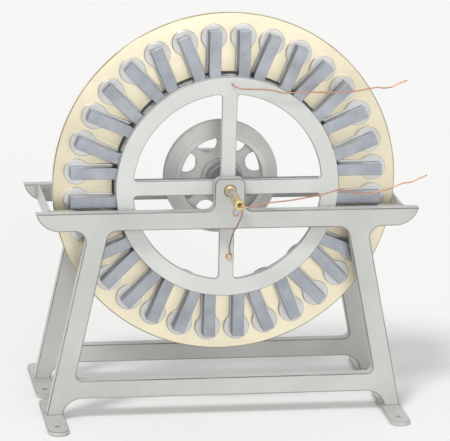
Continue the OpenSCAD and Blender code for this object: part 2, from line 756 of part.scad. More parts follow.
// The carrier's arms lie in the disc's own plane, so that they come close behind the fixed spokes,
// and its ring lies behind the disc.
module disc_carrier() {
    color("dimgray") difference() {
        union() {
            wheel_slab(carrier_at, carrier_at + carrier_t) disc_2d(carrier_r, carrier_bore_r);
            wheel_slab(disc_at, carrier_at + arm_sink) for (k = [0, 1]) rotate(90 * k)
                translate([-arm_end, -arm_w / 2]) square([2 * arm_end, arm_w]);
            on_axis() rod_y(hub_d, hub_at, hub_end);
        }
        on_axis() {
            rod_y(shaft_d + 2 * seat_gap, hub_at - 1, hub_end + 1);
            key_space(hub_at - 1, hub_end + 1);
            at_rivets() rod_y(rivet_d + 2 * seat_gap, carrier_at - 1, carrier_at + carrier_t + 1);
            translate([arm_wire_x, 0, earth_screw_z])
                rod_y(small_screw_d + 2 * seat_gap, hub_end - earth_screw_in - 1, hub_end + 1);
        }
    }
}
module carrier_key() { color("silver") on_axis() key(hub_at, hub_end); }

// Coils: an iron core riveted into each shoe, a bobbin on it, and its winding
module coil_cores() {
    color("silver") on_axis() at_poles() {
        rod_y(tenon_d, disc_at - tenon_in_shoe + touch_gap, carrier_at);
        rod_y(core_d, carrier_at, yoke_at);
        rod_y(stud_d, yoke_at, stud_end);
    }
}
bobbin_wall = 3;
tube_r = core_d / 2 + bobbin_wall;
module bobbins() {
    color("saddlebrown") on_axis() at_poles()
        translate([0, station(bobbin_at), 0]) rotate([-90, 0, 0]) rotate_extrude() polygon([
            [core_d / 2 + seat_gap, touch_gap], [cheek_d / 2, touch_gap], [cheek_d / 2, cheek_t],
            [tube_r, cheek_t], [tube_r, bobbin_len - cheek_t], [cheek_d / 2, bobbin_len - cheek_t],
            [cheek_d / 2, bobbin_len - touch_gap], [core_d / 2 + seat_gap, bobbin_len - touch_gap]
        ]);
}
winding_at = bobbin_at + cheek_t + seat_gap;
winding_end = yoke_at - cheek_t - seat_gap;
module coil_windings() {
    color("peru") on_axis() at_poles() difference() {
        rod_y(winding_d, winding_at, winding_end);
        rod_y(2 * tube_r + 2 * seat_gap, winding_at - 1, winding_end + 1);
    }
}
// Short bare wires join each winding to the next, all but the two at the top.
module coil_links() {
    span = 2 * pole_r * sin(90 / magnet_count) - winding_d - 2 * touch_gap;
    at = (winding_at + winding_end) / 2;
    color("peru") on_axis() for (k = [1 : 2 * magnet_count - 1]) rotate([0, -180 / magnet_count * k, 0])
        translate([-span / 2, station(at), pole_a]) rotate([0, 90, 0])
            cylinder(d = coil_wire_d, h = span, $fn = 24);
}
lead_at = carrier_at + carrier_t + coil_wire_d / 2 + touch_gap;
arm_wire_at = carrier_at + arm_sink + coil_wire_d / 2 + touch_gap;
hub_wire_at = hub_end + coil_wire_d / 2 + touch_gap;
joint_d = coil_wire_d + 0.2;             // a bend in a coil lead is a small ball
module coil_leads() {
    color("peru") {
        top = axis_z + pole_a - winding_d / 2 - touch_gap;
        turn = axis_z + carrier_r - 6;
        step_z = axis_z + carrier_bore_r - coil_wire_d;
        hub_z = axis_z + hub_d / 2 + coil_wire_d;
        dive_z = axis_z + shaft_d / 2 + 6;
        bends = [[lead_at, turn], [lead_at, step_z], [arm_wire_at, step_z], [arm_wire_at, hub_z],
                 [hub_wire_at, hub_z]];
        for (s = [-1, 1]) {
            wire_run([s * pole_x, lead_at + 4, top], [s * arm_wire_x, lead_at, turn], coil_wire_d);
            for (k = [0 : len(bends) - 2]) {
                a = bends[k];
                b = bends[k + 1];
                wire_run([s * arm_wire_x, a[0], a[1]], [s * arm_wire_x, b[0], b[1]], coil_wire_d);
            }
            for (q = bends)
                translate([s * arm_wire_x, station(q[0]), q[1]]) sphere(d = joint_d, $fn = 24);
        }
        wire_run([arm_wire_x, hub_wire_at, hub_z],
                 [arm_wire_x, hub_wire_at, axis_z + earth_screw_z + 3], coil_wire_d);
        wire_run([-arm_wire_x, hub_wire_at, hub_z], [0, wire_hole_at, dive_z], coil_wire_d);
        translate([0, station(wire_hole_at), dive_z]) sphere(d = joint_d, $fn = 24);
        wire_run([0, wire_hole_at, dive_z], [0, wire_hole_at, axis_z + rod_d / 2 + touch_gap], coil_wire_d);
    }
}
module earth_screw() {
    color("goldenrod") on_axis() translate([arm_wire_x, 0, earth_screw_z]) {
        rod_y(small_screw_d, hub_end - earth_screw_in, hub_end);
        rod_y(earth_head_d, hub_end, hub_end + earth_head_t);
    }
}
module yoke_ring() {
    color("silver") difference() {
        wheel_slab(yoke_at, yoke_end) disc_2d(pole_r + yoke_w / 2, pole_r - yoke_w / 2);
        on_axis() at_poles() rod_y(stud_d + 2 * seat_gap, yoke_at - 1, yoke_end + 1);
    }
}
module core_nuts() {
    color("gainsboro") on_axis() at_poles() difference() {
        rod_y(stud_d * nut_ratio, yoke_end, yoke_end + nut_t, 6);
        rod_y(stud_d + 2 * seat_gap, yoke_end - 1, yoke_end + nut_t + 1);
    }
}

// Pulley: bevelled cheeks either side of a belt groove, a web with cut-outs, and a hub
bevel_w = 16;
bevel_h = 30;
hole_r = (rim_bore_d - pulley_hub_d) / 4;
hole_inset = 9;          // from the rim's inside to the middle of a cut-out's arc
hole_edge = 0.5;         // what is left between a cut-out and the rim
module pulley() {
    r = pulley_d / 2;
    mid = pulley_w / 2;
    color("gray") difference() {
        translate([0, station(pulley_at), axis_z]) rotate([-90, 0, 0]) rotate_extrude() polygon([
            [shaft_d / 2 + seat_gap, 0], [pulley_hub_d / 2, 0],
            [pulley_hub_d / 2, mid - pulley_web_t / 2], [rim_bore_d / 2, mid - pulley_web_t / 2],
            [rim_bore_d / 2, 0], [r - bevel_h, 0], [r, bevel_w],
            [r, mid - groove_half], [r - groove_depth, mid], [r, mid + groove_half],
            [r, pulley_w - bevel_w], [r - bevel_h, pulley_w], [rim_bore_d / 2, pulley_w],
            [rim_bore_d / 2, mid + pulley_web_t / 2], [pulley_hub_d / 2, mid + pulley_web_t / 2],
            [pulley_hub_d / 2, pulley_w], [shaft_d / 2 + seat_gap, pulley_w]
        ]);
        wheel_slab(pulley_at + 1, pulley_at + pulley_w - 1) intersection() {
            circle(rim_bore_d / 2 - hole_edge);
            for (k = [0 : pulley_holes - 1]) rotate(360 / pulley_holes * (k + 0.5))
                translate([0, rim_bore_d / 2 - hole_inset]) circle(hole_r);
        }
        on_axis() key_space(pulley_at - 1, pulley_at + pulley_w + 1);
    }
}
module pulley_key() { color("silver") on_axis() key(pulley_at, pulley_at + pulley_w); }
collar_at = rear_at - flange_t - touch_gap - collar_len;
collar_wall = 9;
collar_od = shaft_d + 2 * collar_wall;
collar_screw_d = 6;
collar_screw_len = 12;
module rear_collar() {
    color("silver") on_axis() difference() {
        rod_y(collar_od, collar_at, collar_at + collar_len);
        rod_y(shaft_d + 2 * seat_gap, collar_at - 1, collar_at + collar_len + 1);
        translate([0, station(collar_at + collar_len / 2), 0])
            cylinder(d = collar_screw_d + 2 * seat_gap, h = collar_od);
    }
}
module collar_screw() {
    color("gainsboro") translate([0, station(collar_at + collar_len / 2), axis_z + shaft_d / 2 + seat_gap])
        cylinder(d = collar_screw_d, h = collar_screw_len);
}

front_frame();
rear_frame();
left_side_rail();
right_side_rail();
front_corner_bolts();
rear_corner_bolts();
front_corner_nuts();
rear_corner_nuts();
front_bush();
rear_bush();
thrust_washer();
clamp_wheel();
boss_bolts();
front_magnet_leaves();
middle_magnet_leaves();
rear_magnet_leaves();
backing_ring();
clamp_screws();
contact_wire();
contact_screw();
upper_lead();
lower_lead();
shaft();
ferrule();
insulating_tube();
contact_rod();
armature_disc();
pole_shoes();
disc_carrier();
disc_rivets();
carrier_key();
coil_cores();
bobbins();
coil_windings();
coil_links();
coil_leads();
earth_screw();
yoke_ring();
core_nuts();
pulley();
pulley_key();
rear_collar();
collar_screw();
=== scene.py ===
# %% [markdown]
# # A magneto generator, dressed piece by piece
#
# The machine is already built as plain solids: an iron stand, a ring of horseshoe magnets that stands
# still, and a wheel of coils that turns behind their poles. This lesson gives each piece its real
# surface. Castings get soft edges, magnets get their bends, coils get their turns of wire, and every
# metal gets its own finish.
#
# Every shape is a grid of points that numpy works out at once. There are four kinds: a plate cut to an
# outline, a turned piece, a bar carried along a path, and a coil.

# %% Load the frame
import math

import bmesh
import bpy
import numpy as np
from mathutils import Matrix, Vector
from mathutils.geometry import tessellate_polygon


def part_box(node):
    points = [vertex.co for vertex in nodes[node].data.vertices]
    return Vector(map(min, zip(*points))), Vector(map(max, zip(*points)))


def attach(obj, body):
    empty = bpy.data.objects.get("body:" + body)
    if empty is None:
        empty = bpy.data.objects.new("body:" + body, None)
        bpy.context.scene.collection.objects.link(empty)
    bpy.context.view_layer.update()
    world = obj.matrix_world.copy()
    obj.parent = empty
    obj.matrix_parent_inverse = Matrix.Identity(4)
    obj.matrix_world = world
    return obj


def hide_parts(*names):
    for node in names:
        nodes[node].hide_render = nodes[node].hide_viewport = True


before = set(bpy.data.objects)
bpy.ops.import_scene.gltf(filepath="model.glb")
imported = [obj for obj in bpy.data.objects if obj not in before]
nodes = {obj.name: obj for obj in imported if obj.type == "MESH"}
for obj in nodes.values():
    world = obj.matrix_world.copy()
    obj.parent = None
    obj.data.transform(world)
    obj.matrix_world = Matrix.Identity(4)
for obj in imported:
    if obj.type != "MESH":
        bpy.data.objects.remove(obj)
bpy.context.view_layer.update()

# %% [markdown]
# ## Millimetres and stations
#
# The drawings of a machine like this count from one face. Here it is the front face of the front end
# frame, and a distance behind it is called a station. All the shapes below are worked out as
# [x, station, z] in millimetres, and one function turns them into Blender's metres at the end. Where a
# size can be read from the solids, it is read, so that a piece can't drift away from what carries it.
# A hole is wider than what sits in it by the gap of a fit, a tenth of a millimetre all round.

# %% Measure the solids
MM = 0.001
front_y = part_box("front_bush")[0].y
disc_low, disc_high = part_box("armature_disc")
axis_z = round((disc_low.z + disc_high.z) / 2 / MM, 3)
fit = 0.1


def stations(node):
    """First and last station of a solid."""
    low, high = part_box(node)
    return round((low.y - front_y) / MM, 2), round((high.y - front_y) / MM, 2)


def reach(node):
    """How far a solid reaches to the right of the shaft, which is a wheel's radius."""
    return round(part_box(node)[1].x / MM, 2)


def in_metres(points):
    """[x, station, z] in millimetres becomes the scene's own metres."""
    return np.asarray(points, float) * MM + [0, front_y, 0]


frame_t = stations("front_bush")[1]
rear_end = stations("rear_bush")[1]
rear_at = rear_end - frame_t
magnet_at, leaf_end = stations("front_magnet_leaves")
leaf_t = leaf_end - magnet_at
shoe_at, disc_at = stations("pole_shoes")
carrier_at = stations("armature_disc")[1]
yoke_at, yoke_end = stations("yoke_ring")
pulley_at, pulley_end = stations("pulley")
print("axis at", axis_z, "mm; magnets at", magnet_at, "shoes at", shoe_at, "pulley at", pulley_at)

# %% [markdown]
# ## Camera and leads
#
# The machine is seen from a little to the left and a little above, with depth running up and to the
# left. A long lens from eight metres comes closest to that, with a slight roll that shares the tilt
# between the rails and the posts.
#
# The two leads come straight after the camera, because they are the only pieces that reach out of the
# machine. They are stiff bare wire, and each keeps the bends that it was given. A smooth curve through listed
# points is right for that: a Catmull-Rom curve passes through every point, and its tangent there is parallel
# to the line between the neighbours.

# %% Camera
azimuth = math.radians(-9.6)
elevation = math.radians(15)
roll = math.radians(1.4)
camera_distance = 8.0
pixel_mm = 2.643
photo_width = 450
sensor_mm = 36
look_at = Vector((0.001, front_y + shoe_at * MM, 0.5195))
back = Vector((math.sin(azimuth) * math.cos(elevation),
               -math.cos(azimuth) * math.cos(elevation), math.sin(elevation)))

camera_data = bpy.data.cameras.new("camera")
camera = bpy.data.objects.new("camera", camera_data)
bpy.context.scene.collection.objects.link(camera)
bpy.context.scene.camera = camera
camera_data.sensor_width = sensor_mm
camera_data.lens = sensor_mm * camera_distance / (photo_width * pixel_mm * MM)
turn = (-back).to_track_quat("-Z", "Y").to_matrix().to_4x4() @ Matrix.Rotation(roll, 4, "Z")
camera.matrix_world = Matrix.Translation(look_at + back * camera_distance) @ turn
print("lens", round(camera_data.lens), "mm")


# %% Curves through points
def unit(v):
    """Each row divided by its own length."""
    v = np.asarray(v, float)
    return v / np.linalg.norm(v, axis=-1, keepdims=True)


def smooth(points, steps):
    """A Catmull-Rom curve: between b and c it is a cubic whose ends have the slopes (c-a)/2 and (d-b)/2."""
    p = np.asarray(points, float)
    p = np.vstack([p[:1], p, p[-1:]])
    a, b, c, d = p[:-3, None], p[1:-2, None], p[2:-1, None], p[3:, None]
    t = (np.arange(steps) / steps)[None, :, None]
    curve = 0.5 * (2 * b + (c - a) * t + (2 * a - 5 * b + 4 * c - d) * t**2 + (3 * b - a - 3 * c + d) * t**3)
    return np.vstack([curve.reshape(-1, 3), p[-1:]])


print("a curve through 3 points has", len(smooth([[0, 0, 0], [1, 0, 0], [1, 1, 0]], 6)), "points")


# %% Grids and wires
def grid_faces(rows, columns, close_rows=False):
    """Four-sided faces between each point, the next in its row, and those two in the row after. A row
    closes on itself, and the last row may close on the first."""
    r = np.arange(rows if close_rows else rows - 1)[:, None]
    c = np.arange(columns)[None, :]
    r2, c2 = (r + 1) % rows, (c + 1) % columns
    corners = [r * columns + c, r * columns + c2, r2 * columns + c2, r2 * columns + c]
    return np.stack([np.broadcast_to(q, (len(r), c.shape[1])) for q in corners], -1).reshape(-1, 4).tolist()


def end_faces(rows, columns):
    """One face over the first row of a grid and one over its last, each facing outwards."""
    return [list(range(columns))[::-1], list(range((rows - 1) * columns, rows * columns))]


def tube(path, radius, sides=14, first=(0, 1, 0)):
    """A wire. Each ring is path + radius * (cos a * u + sin a * v), with u and v square to the path. The
    rings at the two ends are a fifth smaller, which breaks their edges."""
    path = np.asarray(path, float)
    along = unit(np.gradient(path, axis=0))
    u = unit(np.cross(along, np.broadcast_to(np.asarray(first, float), along.shape)))
    v = np.cross(u, along)
    a = np.linspace(0, 2 * math.pi, sides, endpoint=False)[None, :, None]
    size = np.full((len(path), 1, 1), float(radius))
    size[[0, -1]] *= 0.8
    points = path[:, None] + size * (np.cos(a) * u[:, None] + np.sin(a) * v[:, None])
    return points.reshape(-1, 3), grid_faces(len(path), sides) + end_faces(len(path), sides)


print("a straight wire of 5 rings:", len(tube(np.arange(5)[:, None] * [1, 0, 0], 1)[1]), "faces")

# %% [markdown]
# ## From arrays to a piece
#
# Every shape is a pair: its points and its faces. Some carry a third array that says how much a point lies on
# an edge, from 0 to 1, and the finishes paint a dark line of shade there. The next cell joins such shapes
# into one mesh, merges the points at poles and seams, and turns the faces outwards. It prints the volume too,
# because a shell that is inside out shows at once as a negative or missing volume. A Weighted Normal modifier
# lets the large flat faces rule the shading, so that only the narrow rounded edges catch the light.

# %% Making a piece
same_place = 1e-6


def make(name, shapes, material, body, replaced):
    """Joins shapes into one object that rides on a body and stands for some solids. Each shape's faces
    are renumbered by the count of points before it."""
    points, faces, edge = [], [], []
    start = 0
    for shape in shapes:
        points.append(np.asarray(shape[0], float))
        faces += [[i + start for i in f] for f in shape[1]]
        edge.append(shape[2] if len(shape) > 2 else np.zeros(len(shape[0])))
        start += len(shape[0])
    mesh = bpy.data.meshes.new(name)
    mesh.from_pydata(in_metres(np.vstack(points)).tolist(), [], faces)
    on_edge = mesh.attributes.new("edge", "FLOAT", "POINT")
    on_edge.data.foreach_set("value", np.concatenate(edge).astype(np.float32))
    tool = bmesh.new()
    tool.from_mesh(mesh)
    bmesh.ops.remove_doubles(tool, verts=tool.verts, dist=same_place)
    bmesh.ops.recalc_face_normals(tool, faces=tool.faces)
    volume = tool.calc_volume(signed=True)
    tool.to_mesh(mesh)
    tool.free()
    mesh.polygons.foreach_set("use_smooth", [True] * len(mesh.polygons))
    mesh.materials.append(material)
    piece = bpy.data.objects.new(name, mesh)
    bpy.context.scene.collection.objects.link(piece)
    piece.modifiers.new("even shading", "WEIGHTED_NORMAL").weight = 80
    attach(piece, body)
    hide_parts(*replaced)
    print(name, len(mesh.vertices), "points", round(volume * 1e6, 1), "cm3")
    return piece


# %% [markdown]
# ## Finishes
#
# A finish is one function that starts from the metal's plain colour and adds what the real one shows: a slow
# change of tone over a hand's width, a gloss that changes with it, a fine grain and the rings that a lathe
# leaves. On top of that it paints a thin dark line of shade along the edges, which outlines each piece. The
# line could be painted from a bevel or pointiness node, but those are slow or uneven, while each shape knows
# its own edges and stores them as an attribute. The patterns read Object coordinates, and every piece sits at
# the origin, so a grain of 2 mm stays 2 mm on every piece.

# %% Nodes and links
def node(tree, kind, **settings):
    """A shader node with its sockets and options set by their names."""
    made = tree.nodes.new("ShaderNode" + kind)
    for key, value in settings.items():
        if key in made.inputs:
            made.inputs[key].default_value = value
        else:
            setattr(made, key, value)
    return made


def link(tree, a, a_name, b, b_name):
    """A link from one node's output to another's input."""
    tree.links.new(a.outputs[a_name], b.inputs[b_name])


# %% Slow tone
tone_from, tone_to = 0.3, 0.7


def slow_tone(tree, mapping, colour, tone, tone_size):
    """A noise as wide as tone_size, and a colour that runs from colour * (1 - tone) to
    colour * (1 + tone) while the noise goes from tone_from to tone_to."""
    slow = node(tree, "TexNoise", Scale=1 / tone_size, Detail=5.0, Roughness=0.6)
    link(tree, mapping, "Vector", slow, "Vector")
    ramp = node(tree, "ValToRGB")
    low, high = ramp.color_ramp.elements
    low.position, high.position = tone_from, tone_to
    low.color = (*[c * (1 - tone) for c in colour], 1)
    high.color = (*[min(1, c * (1 + tone)) for c in colour], 1)
    link(tree, slow, "Fac", ramp, "Fac")
    return slow, ramp


# %% Painted shade line along edges
# The dark line is painted shade along the edges, full in some patches of noise and fainter in others.
line_patches = 9.0
line_from, line_to, line_least = 0.25, 0.6, 0.45
first_colour, second_colour, mixed_colour = 6, 7, 2


def painted_edge_shade(tree, place, ramp, line):
    """Paints shade along the edges: the ramp's colour and the dark line's, mixed by the edge attribute times
    a share. The share goes from line_least to 1 over patches of noise."""
    edge = node(tree, "Attribute", attribute_name="edge")
    patches = node(tree, "TexNoise", Scale=line_patches, Detail=3.0)
    link(tree, place, "Object", patches, "Vector")
    share = node(tree, "MapRange", **{"From Min": line_from, "From Max": line_to, "To Min": line_least})
    link(tree, patches, "Fac", share, "Value")
    factor = node(tree, "Math", operation="MULTIPLY")
    link(tree, edge, "Fac", factor, 0)
    link(tree, share, "Result", factor, 1)
    blend = node(tree, "Mix", data_type="RGBA")
    link(tree, factor, "Value", blend, "Factor")
    link(tree, ramp, "Color", blend, first_colour)
    blend.inputs[second_colour].default_value = (*line, 1)
    return blend


print("the line has at least", line_least, "of its colour, in patches of", round(1 / line_patches, 2), "m")

# %% Grain and lathe rings
relief_height = 0.6 * MM
ring_strength = 0.2


def relief(tree, place, mapping, grain, grain_size, ring_gap):
    """A bump whose height is a fine noise, or rings round the shaft's axis for a piece off the lathe."""
    if ring_gap:
        centre = node(tree, "Mapping", Location=(0, 0, -axis_z * MM))
        link(tree, place, "Object", centre, "Vector")
        height = node(tree, "TexWave", wave_type="RINGS", rings_direction="Y", Scale=1 / ring_gap,
                      Distortion=0.6, Detail=2.0)
        link(tree, centre, "Vector", height, "Vector")
    else:
        height = node(tree, "TexNoise", Scale=1 / grain_size, Detail=3.0)
        link(tree, mapping, "Vector", height, "Vector")
    bump = node(tree, "Bump", Strength=grain or ring_strength, Distance=relief_height)
    link(tree, height, "Fac", bump, "Height")
    return bump


print("the grain is at most", relief_height / MM, "mm high")

# %% A function for the finishes
gloss_from, gloss_to = 0.8, 1.25


def finish(name, colour, metallic=0.0, roughness=0.5, coat=0.0, tone=0.12, tone_size=0.12, grain=0.0,
           grain_size=0.002, ring_gap=0.0, stretch=(1, 1, 1), line=None):
    """A slow tone, a roughness that goes with it from roughness * gloss_from to roughness * gloss_to, a
    painted shade line along the edges if the finish has one, and a relief if it has a grain or rings."""
    material = bpy.data.materials.new(name)
    material.use_nodes = True
    tree = material.node_tree
    tree.nodes.clear()
    shader = node(tree, "BsdfPrincipled", **{"Metallic": metallic, "Coat Weight": coat})
    link(tree, shader, "BSDF", node(tree, "OutputMaterial"), "Surface")
    place = node(tree, "TexCoord")
    mapping = node(tree, "Mapping", Scale=stretch)
    link(tree, place, "Object", mapping, "Vector")

    slow, ramp = slow_tone(tree, mapping, colour, tone, tone_size)
    if line:
        link(tree, painted_edge_shade(tree, place, ramp, line), mixed_colour, shader, "Base Color")
    else:
        link(tree, ramp, "Color", shader, "Base Color")
    smoothest, roughest = roughness * gloss_from, min(1, roughness * gloss_to)
    gloss = node(tree, "MapRange", **{"To Min": smoothest, "To Max": roughest})
    link(tree, slow, "Fac", gloss, "Value")
    link(tree, gloss, "Result", shader, "Roughness")
    if grain or ring_gap:
        bump = relief(tree, place, mapping, grain, grain_size, ring_gap)
        link(tree, bump, "Normal", shader, "Normal")
    return material


# %% The finishes themselves
# Each line colour below is the dark shade painted along that finish's edges.
paint = finish("stand_paint", (0.50, 0.51, 0.49), roughness=0.42, coat=0.15, tone=0.10, tone_size=0.25,
               grain=0.35, grain_size=0.004, line=(0.10, 0.10, 0.095))
ring_paint = finish("ring_paint", (0.60, 0.61, 0.59), roughness=0.38, coat=0.2, tone=0.08, tone_size=0.2,
                    grain=0.22, grain_size=0.003, line=(0.11, 0.11, 0.105))
magnet_steel = finish("magnet_steel", (0.37, 0.39, 0.43), metallic=1, roughness=0.34, tone=0.16,
                      tone_size=0.06, grain=0.25, grain_size=0.0016, line=(0.12, 0.12, 0.13))
disc_brass = finish("disc_brass", (0.78, 0.71, 0.54), metallic=1, roughness=0.36, tone=0.07,
                    tone_size=0.18, ring_gap=0.0035, line=(0.24, 0.20, 0.12))
soft_iron = finish("soft_iron", (0.62, 0.62, 0.61), metallic=1, roughness=0.30, tone=0.10,
                   tone_size=0.05, grain=0.18, grain_size=0.001, line=(0.20, 0.20, 0.20))
carrier_iron = finish("carrier_iron", (0.26, 0.27, 0.28), metallic=0.6, roughness=0.5, tone=0.15, grain=0.3)
shaft_steel = finish("shaft_steel", (0.66, 0.66, 0.65), metallic=1, roughness=0.22, tone=0.06,
                     grain=0.1, grain_size=0.0008, stretch=(1, 12, 1))
nut_steel = finish("nut_steel", (0.50, 0.50, 0.49), metallic=1, roughness=0.36, tone=0.12,
                   tone_size=0.02, grain=0.2, grain_size=0.001)
contact_brass = finish("contact_brass", (0.78, 0.60, 0.30), metallic=1, roughness=0.24, tone=0.08,
                       tone_size=0.02, grain=0.1, grain_size=0.0008, stretch=(1, 10, 1))
bearing_brass = finish("bearing_brass", (0.66, 0.50, 0.26), metallic=1, roughness=0.34, tone=0.10,
                       tone_size=0.02)
ebonite = finish("ebonite", (0.035, 0.028, 0.026), roughness=0.22, tone=0.2, tone_size=0.01)
boxwood = finish("boxwood", (0.36, 0.22, 0.12), roughness=0.42, coat=0.3, tone=0.30, tone_size=0.012,
                 grain=0.3, grain_size=0.002, stretch=(1, 0.15, 1))
covered_wire = finish("covered_wire", (0.36, 0.17, 0.09), roughness=0.55, coat=0.25, tone=0.15,
                      tone_size=0.02, grain=0.5, grain_size=0.0006)
bare_copper = finish("bare_copper", (0.50, 0.27, 0.17), metallic=1, roughness=0.34, tone=0.20,
                     tone_size=0.015)
# Painted light: the pulley's pale grey is made lighter than the other iron, to brighten it in the shade
# behind the wheel.
pulley_iron = finish("pulley_iron", (0.74, 0.74, 0.72), metallic=0.2, roughness=0.42, tone=0.1,
                     ring_gap=0.004, line=(0.22, 0.22, 0.21))
print("materials, with the solids' own:", len(bpy.data.materials))

# %% [markdown]
# ## The two leads
#
# The upper lead is plugged into the flat ring and goes off to the right. The lower one rests against
# the end of the rod in the shaft. Both end bare in the air, where the outside circuit takes them.

# %% Leads
lead_d = 3.6
ring_top = round(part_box("clamp_wheel")[1].z / MM, 2)
upper_route = [
    [4, 43, -18], [4, 34, -18], [5, 26, -19], [12, 20, -23], [29, 18, -28], [59, 18, -29],
    [88, 18, -30], [114, 18, -34], [137, 18, -40], [163, 18, -39], [212, 18, -39], [260, 18, -40],
    [301, 18, -40], [331, 18, -37], [355, 18, -33], [384, 18, -28], [405, 18, -30], [425, 18, -27],
    [443, 18, -18], [465, 18, -10],
]
lower_route = [
    [0, -152, 0], [1, -160, 0], [7, -168, 0], [19, -171, 1], [37, -168, 5], [76, -164, 10],
    [121, -160, 13], [151, -156, 16], [181, -152, 20], [211, -148, 24], [241, -144, 31],
    [262, -140, 35], [276, -140, 33], [297, -140, 26], [321, -140, 22], [342, -140, 23],
    [369, -140, 29], [396, -140, 36], [416, -140, 45], [432, -140, 50], [450, -140, 52],
    [470, -140, 61], [491, -140, 70],
]


def lead(name, route, height, node_name):
    """A stiff bare wire: a tube along the smooth curve, whose heights count from a given height."""
    curve = smooth(route, 6) + [0, 0, height]
    shapes = [tube(curve, lead_d / 2, first=(0, 0, 1))]
    wire = make(name, shapes, bare_copper, "stand", [node_name])


lead("upper_wire", upper_route, ring_top, "upper_lead")
lead("lower_wire", lower_route, axis_z, "lower_lead")

# %% [markdown]
# ## Outlines
#
# A casting or a plate is an outline with thickness. An outline is a closed loop of points, with the
# metal always on the left of the way it runs: round the outside one way, round a hole the other way.
# Corners are given as [x, z, radius], and each round one becomes an arc that touches both its sides.

# %% Rounded corners
def corner_arc(before, corner, after, radius, steps):
    """The arc of a rounded corner: its middle lies on the corner's bisector at radius / sin(half angle),
    and it touches each side at radius / tan(half angle) from the corner."""
    u, v = unit(before - corner), unit(after - corner)
    half = math.acos(float(np.clip(u @ v, -1, 1))) / 2
    middle = corner + unit(u + v) * radius / math.sin(half)
    s = corner + u * radius / math.tan(half) - middle
    e = corner + v * radius / math.tan(half) - middle
    first = math.atan2(s[1], s[0])
    sweep = math.atan2(s[0] * e[1] - s[1] * e[0], float(s @ e))
    a = first + sweep * np.linspace(0, 1, steps + 1)
    return middle + radius * np.stack([np.cos(a), np.sin(a)], -1)


def rounded(corners, steps):
    """A closed outline from [x, z, radius] corners: a radius of 0 leaves a point, any other an arc."""
    c = np.asarray(corners, float)
    n = len(c)
    parts = []
    for i in range(n):
        if c[i, 2] == 0:
            parts.append(c[i:i + 1, :2])
        else:
            parts.append(corner_arc(c[i - 1, :2], c[i, :2], c[(i + 1) % n, :2], c[i, 2], steps))
    return np.vstack(parts)


print("a square with round corners:", len(rounded([[0, 0, 1], [9, 0, 1], [9, 9, 1], [0, 9, 1]], 4)), "points")


# %% Arcs and areas
def arc(centre, radius, first, last, steps):
    """Points at centre + radius * (cos a, sin a), from one angle to another in degrees."""
    a = np.radians(np.linspace(first, last, steps + 1))
    return np.asarray(centre, float) + radius * np.stack([np.cos(a), np.sin(a)], -1)


def circle(radius, steps, centre=(0, 0)):
    """An arc of 360 degrees without its last point, which is its first one again."""
    return arc(centre, radius, 0, 360, steps)[:-1]


def area(loop):
    """The area inside a loop, positive when it runs anticlockwise: half the sum of x1 z2 - x2 z1."""
    after = np.roll(loop, -1, 0)
    return float(np.sum(loop[:, 0] * after[:, 1] - after[:, 0] * loop[:, 1])) / 2


print("a circle of radius 10 in 96 steps has an area of", round(area(circle(10, 96)), 2), "instead of 314.16")


# %% Directions and copies
def facing(loop, hole=False):
    """The loop with its metal on the left: anticlockwise outside, clockwise round a hole."""
    return loop if (area(loop) > 0) != hole else loop[::-1]


def both_sides(half):
    """A half outline and its mirror image, where x changes its sign, as one closed outline."""
    half = np.asarray(half, float)
    return np.vstack([half, half[::-1] * [-1, 1, 1]])


def at_angles(loop, degrees):
    """Copies of a loop turned about the axis: x cos a - z sin a and x sin a + z cos a."""
    return [loop @ np.array([[math.cos(a), math.sin(a)], [-math.sin(a), math.cos(a)]])
            for a in np.radians(degrees)]


print("copies in quarters:", len(at_angles(circle(10, 8), [0, 90, 180, 270])))

# %% [markdown]
# ## A plate with soft edges
#
# The wall of a plate is a grid: one way runs round the outline, the other follows a quarter circle at
# the front edge, the straight wall and a quarter circle at the back. A point at angle a of the quarter
# circle stands in from the outline by r(1 - sin a) and back from the face by r(1 - cos a).
#
# The two faces are filled between the outermost rows, holes and all. The filling goes wrong without a
# word where a corner is so tight that the row inside it crosses itself, or where two loops touch. So
# the area of each face's triangles is compared with the area inside its loops, and the last cell of
# the lesson prints the worst of them.

# %% Insets
def inset(loop, distance):
    """Every point moves into the metal along the mitre of its two sides, whose normals are n0 and n1:
    by distance * (n0 + n1) / (1 + n0 . n1)."""
    before, after = unit(loop - np.roll(loop, 1, 0)), unit(np.roll(loop, -1, 0) - loop)
    n0 = np.stack([-before[:, 1], before[:, 0]], -1)
    n1 = np.stack([-after[:, 1], after[:, 0]], -1)
    share = 1 + np.sum(n0 * n1, 1, keepdims=True)
    return loop + distance * (n0 + n1) / share


print("a circle of radius 10 moved in by 2:", inset(circle(10, 96), 2)[0].round(2).tolist())

# %% Plates
unfilled = []


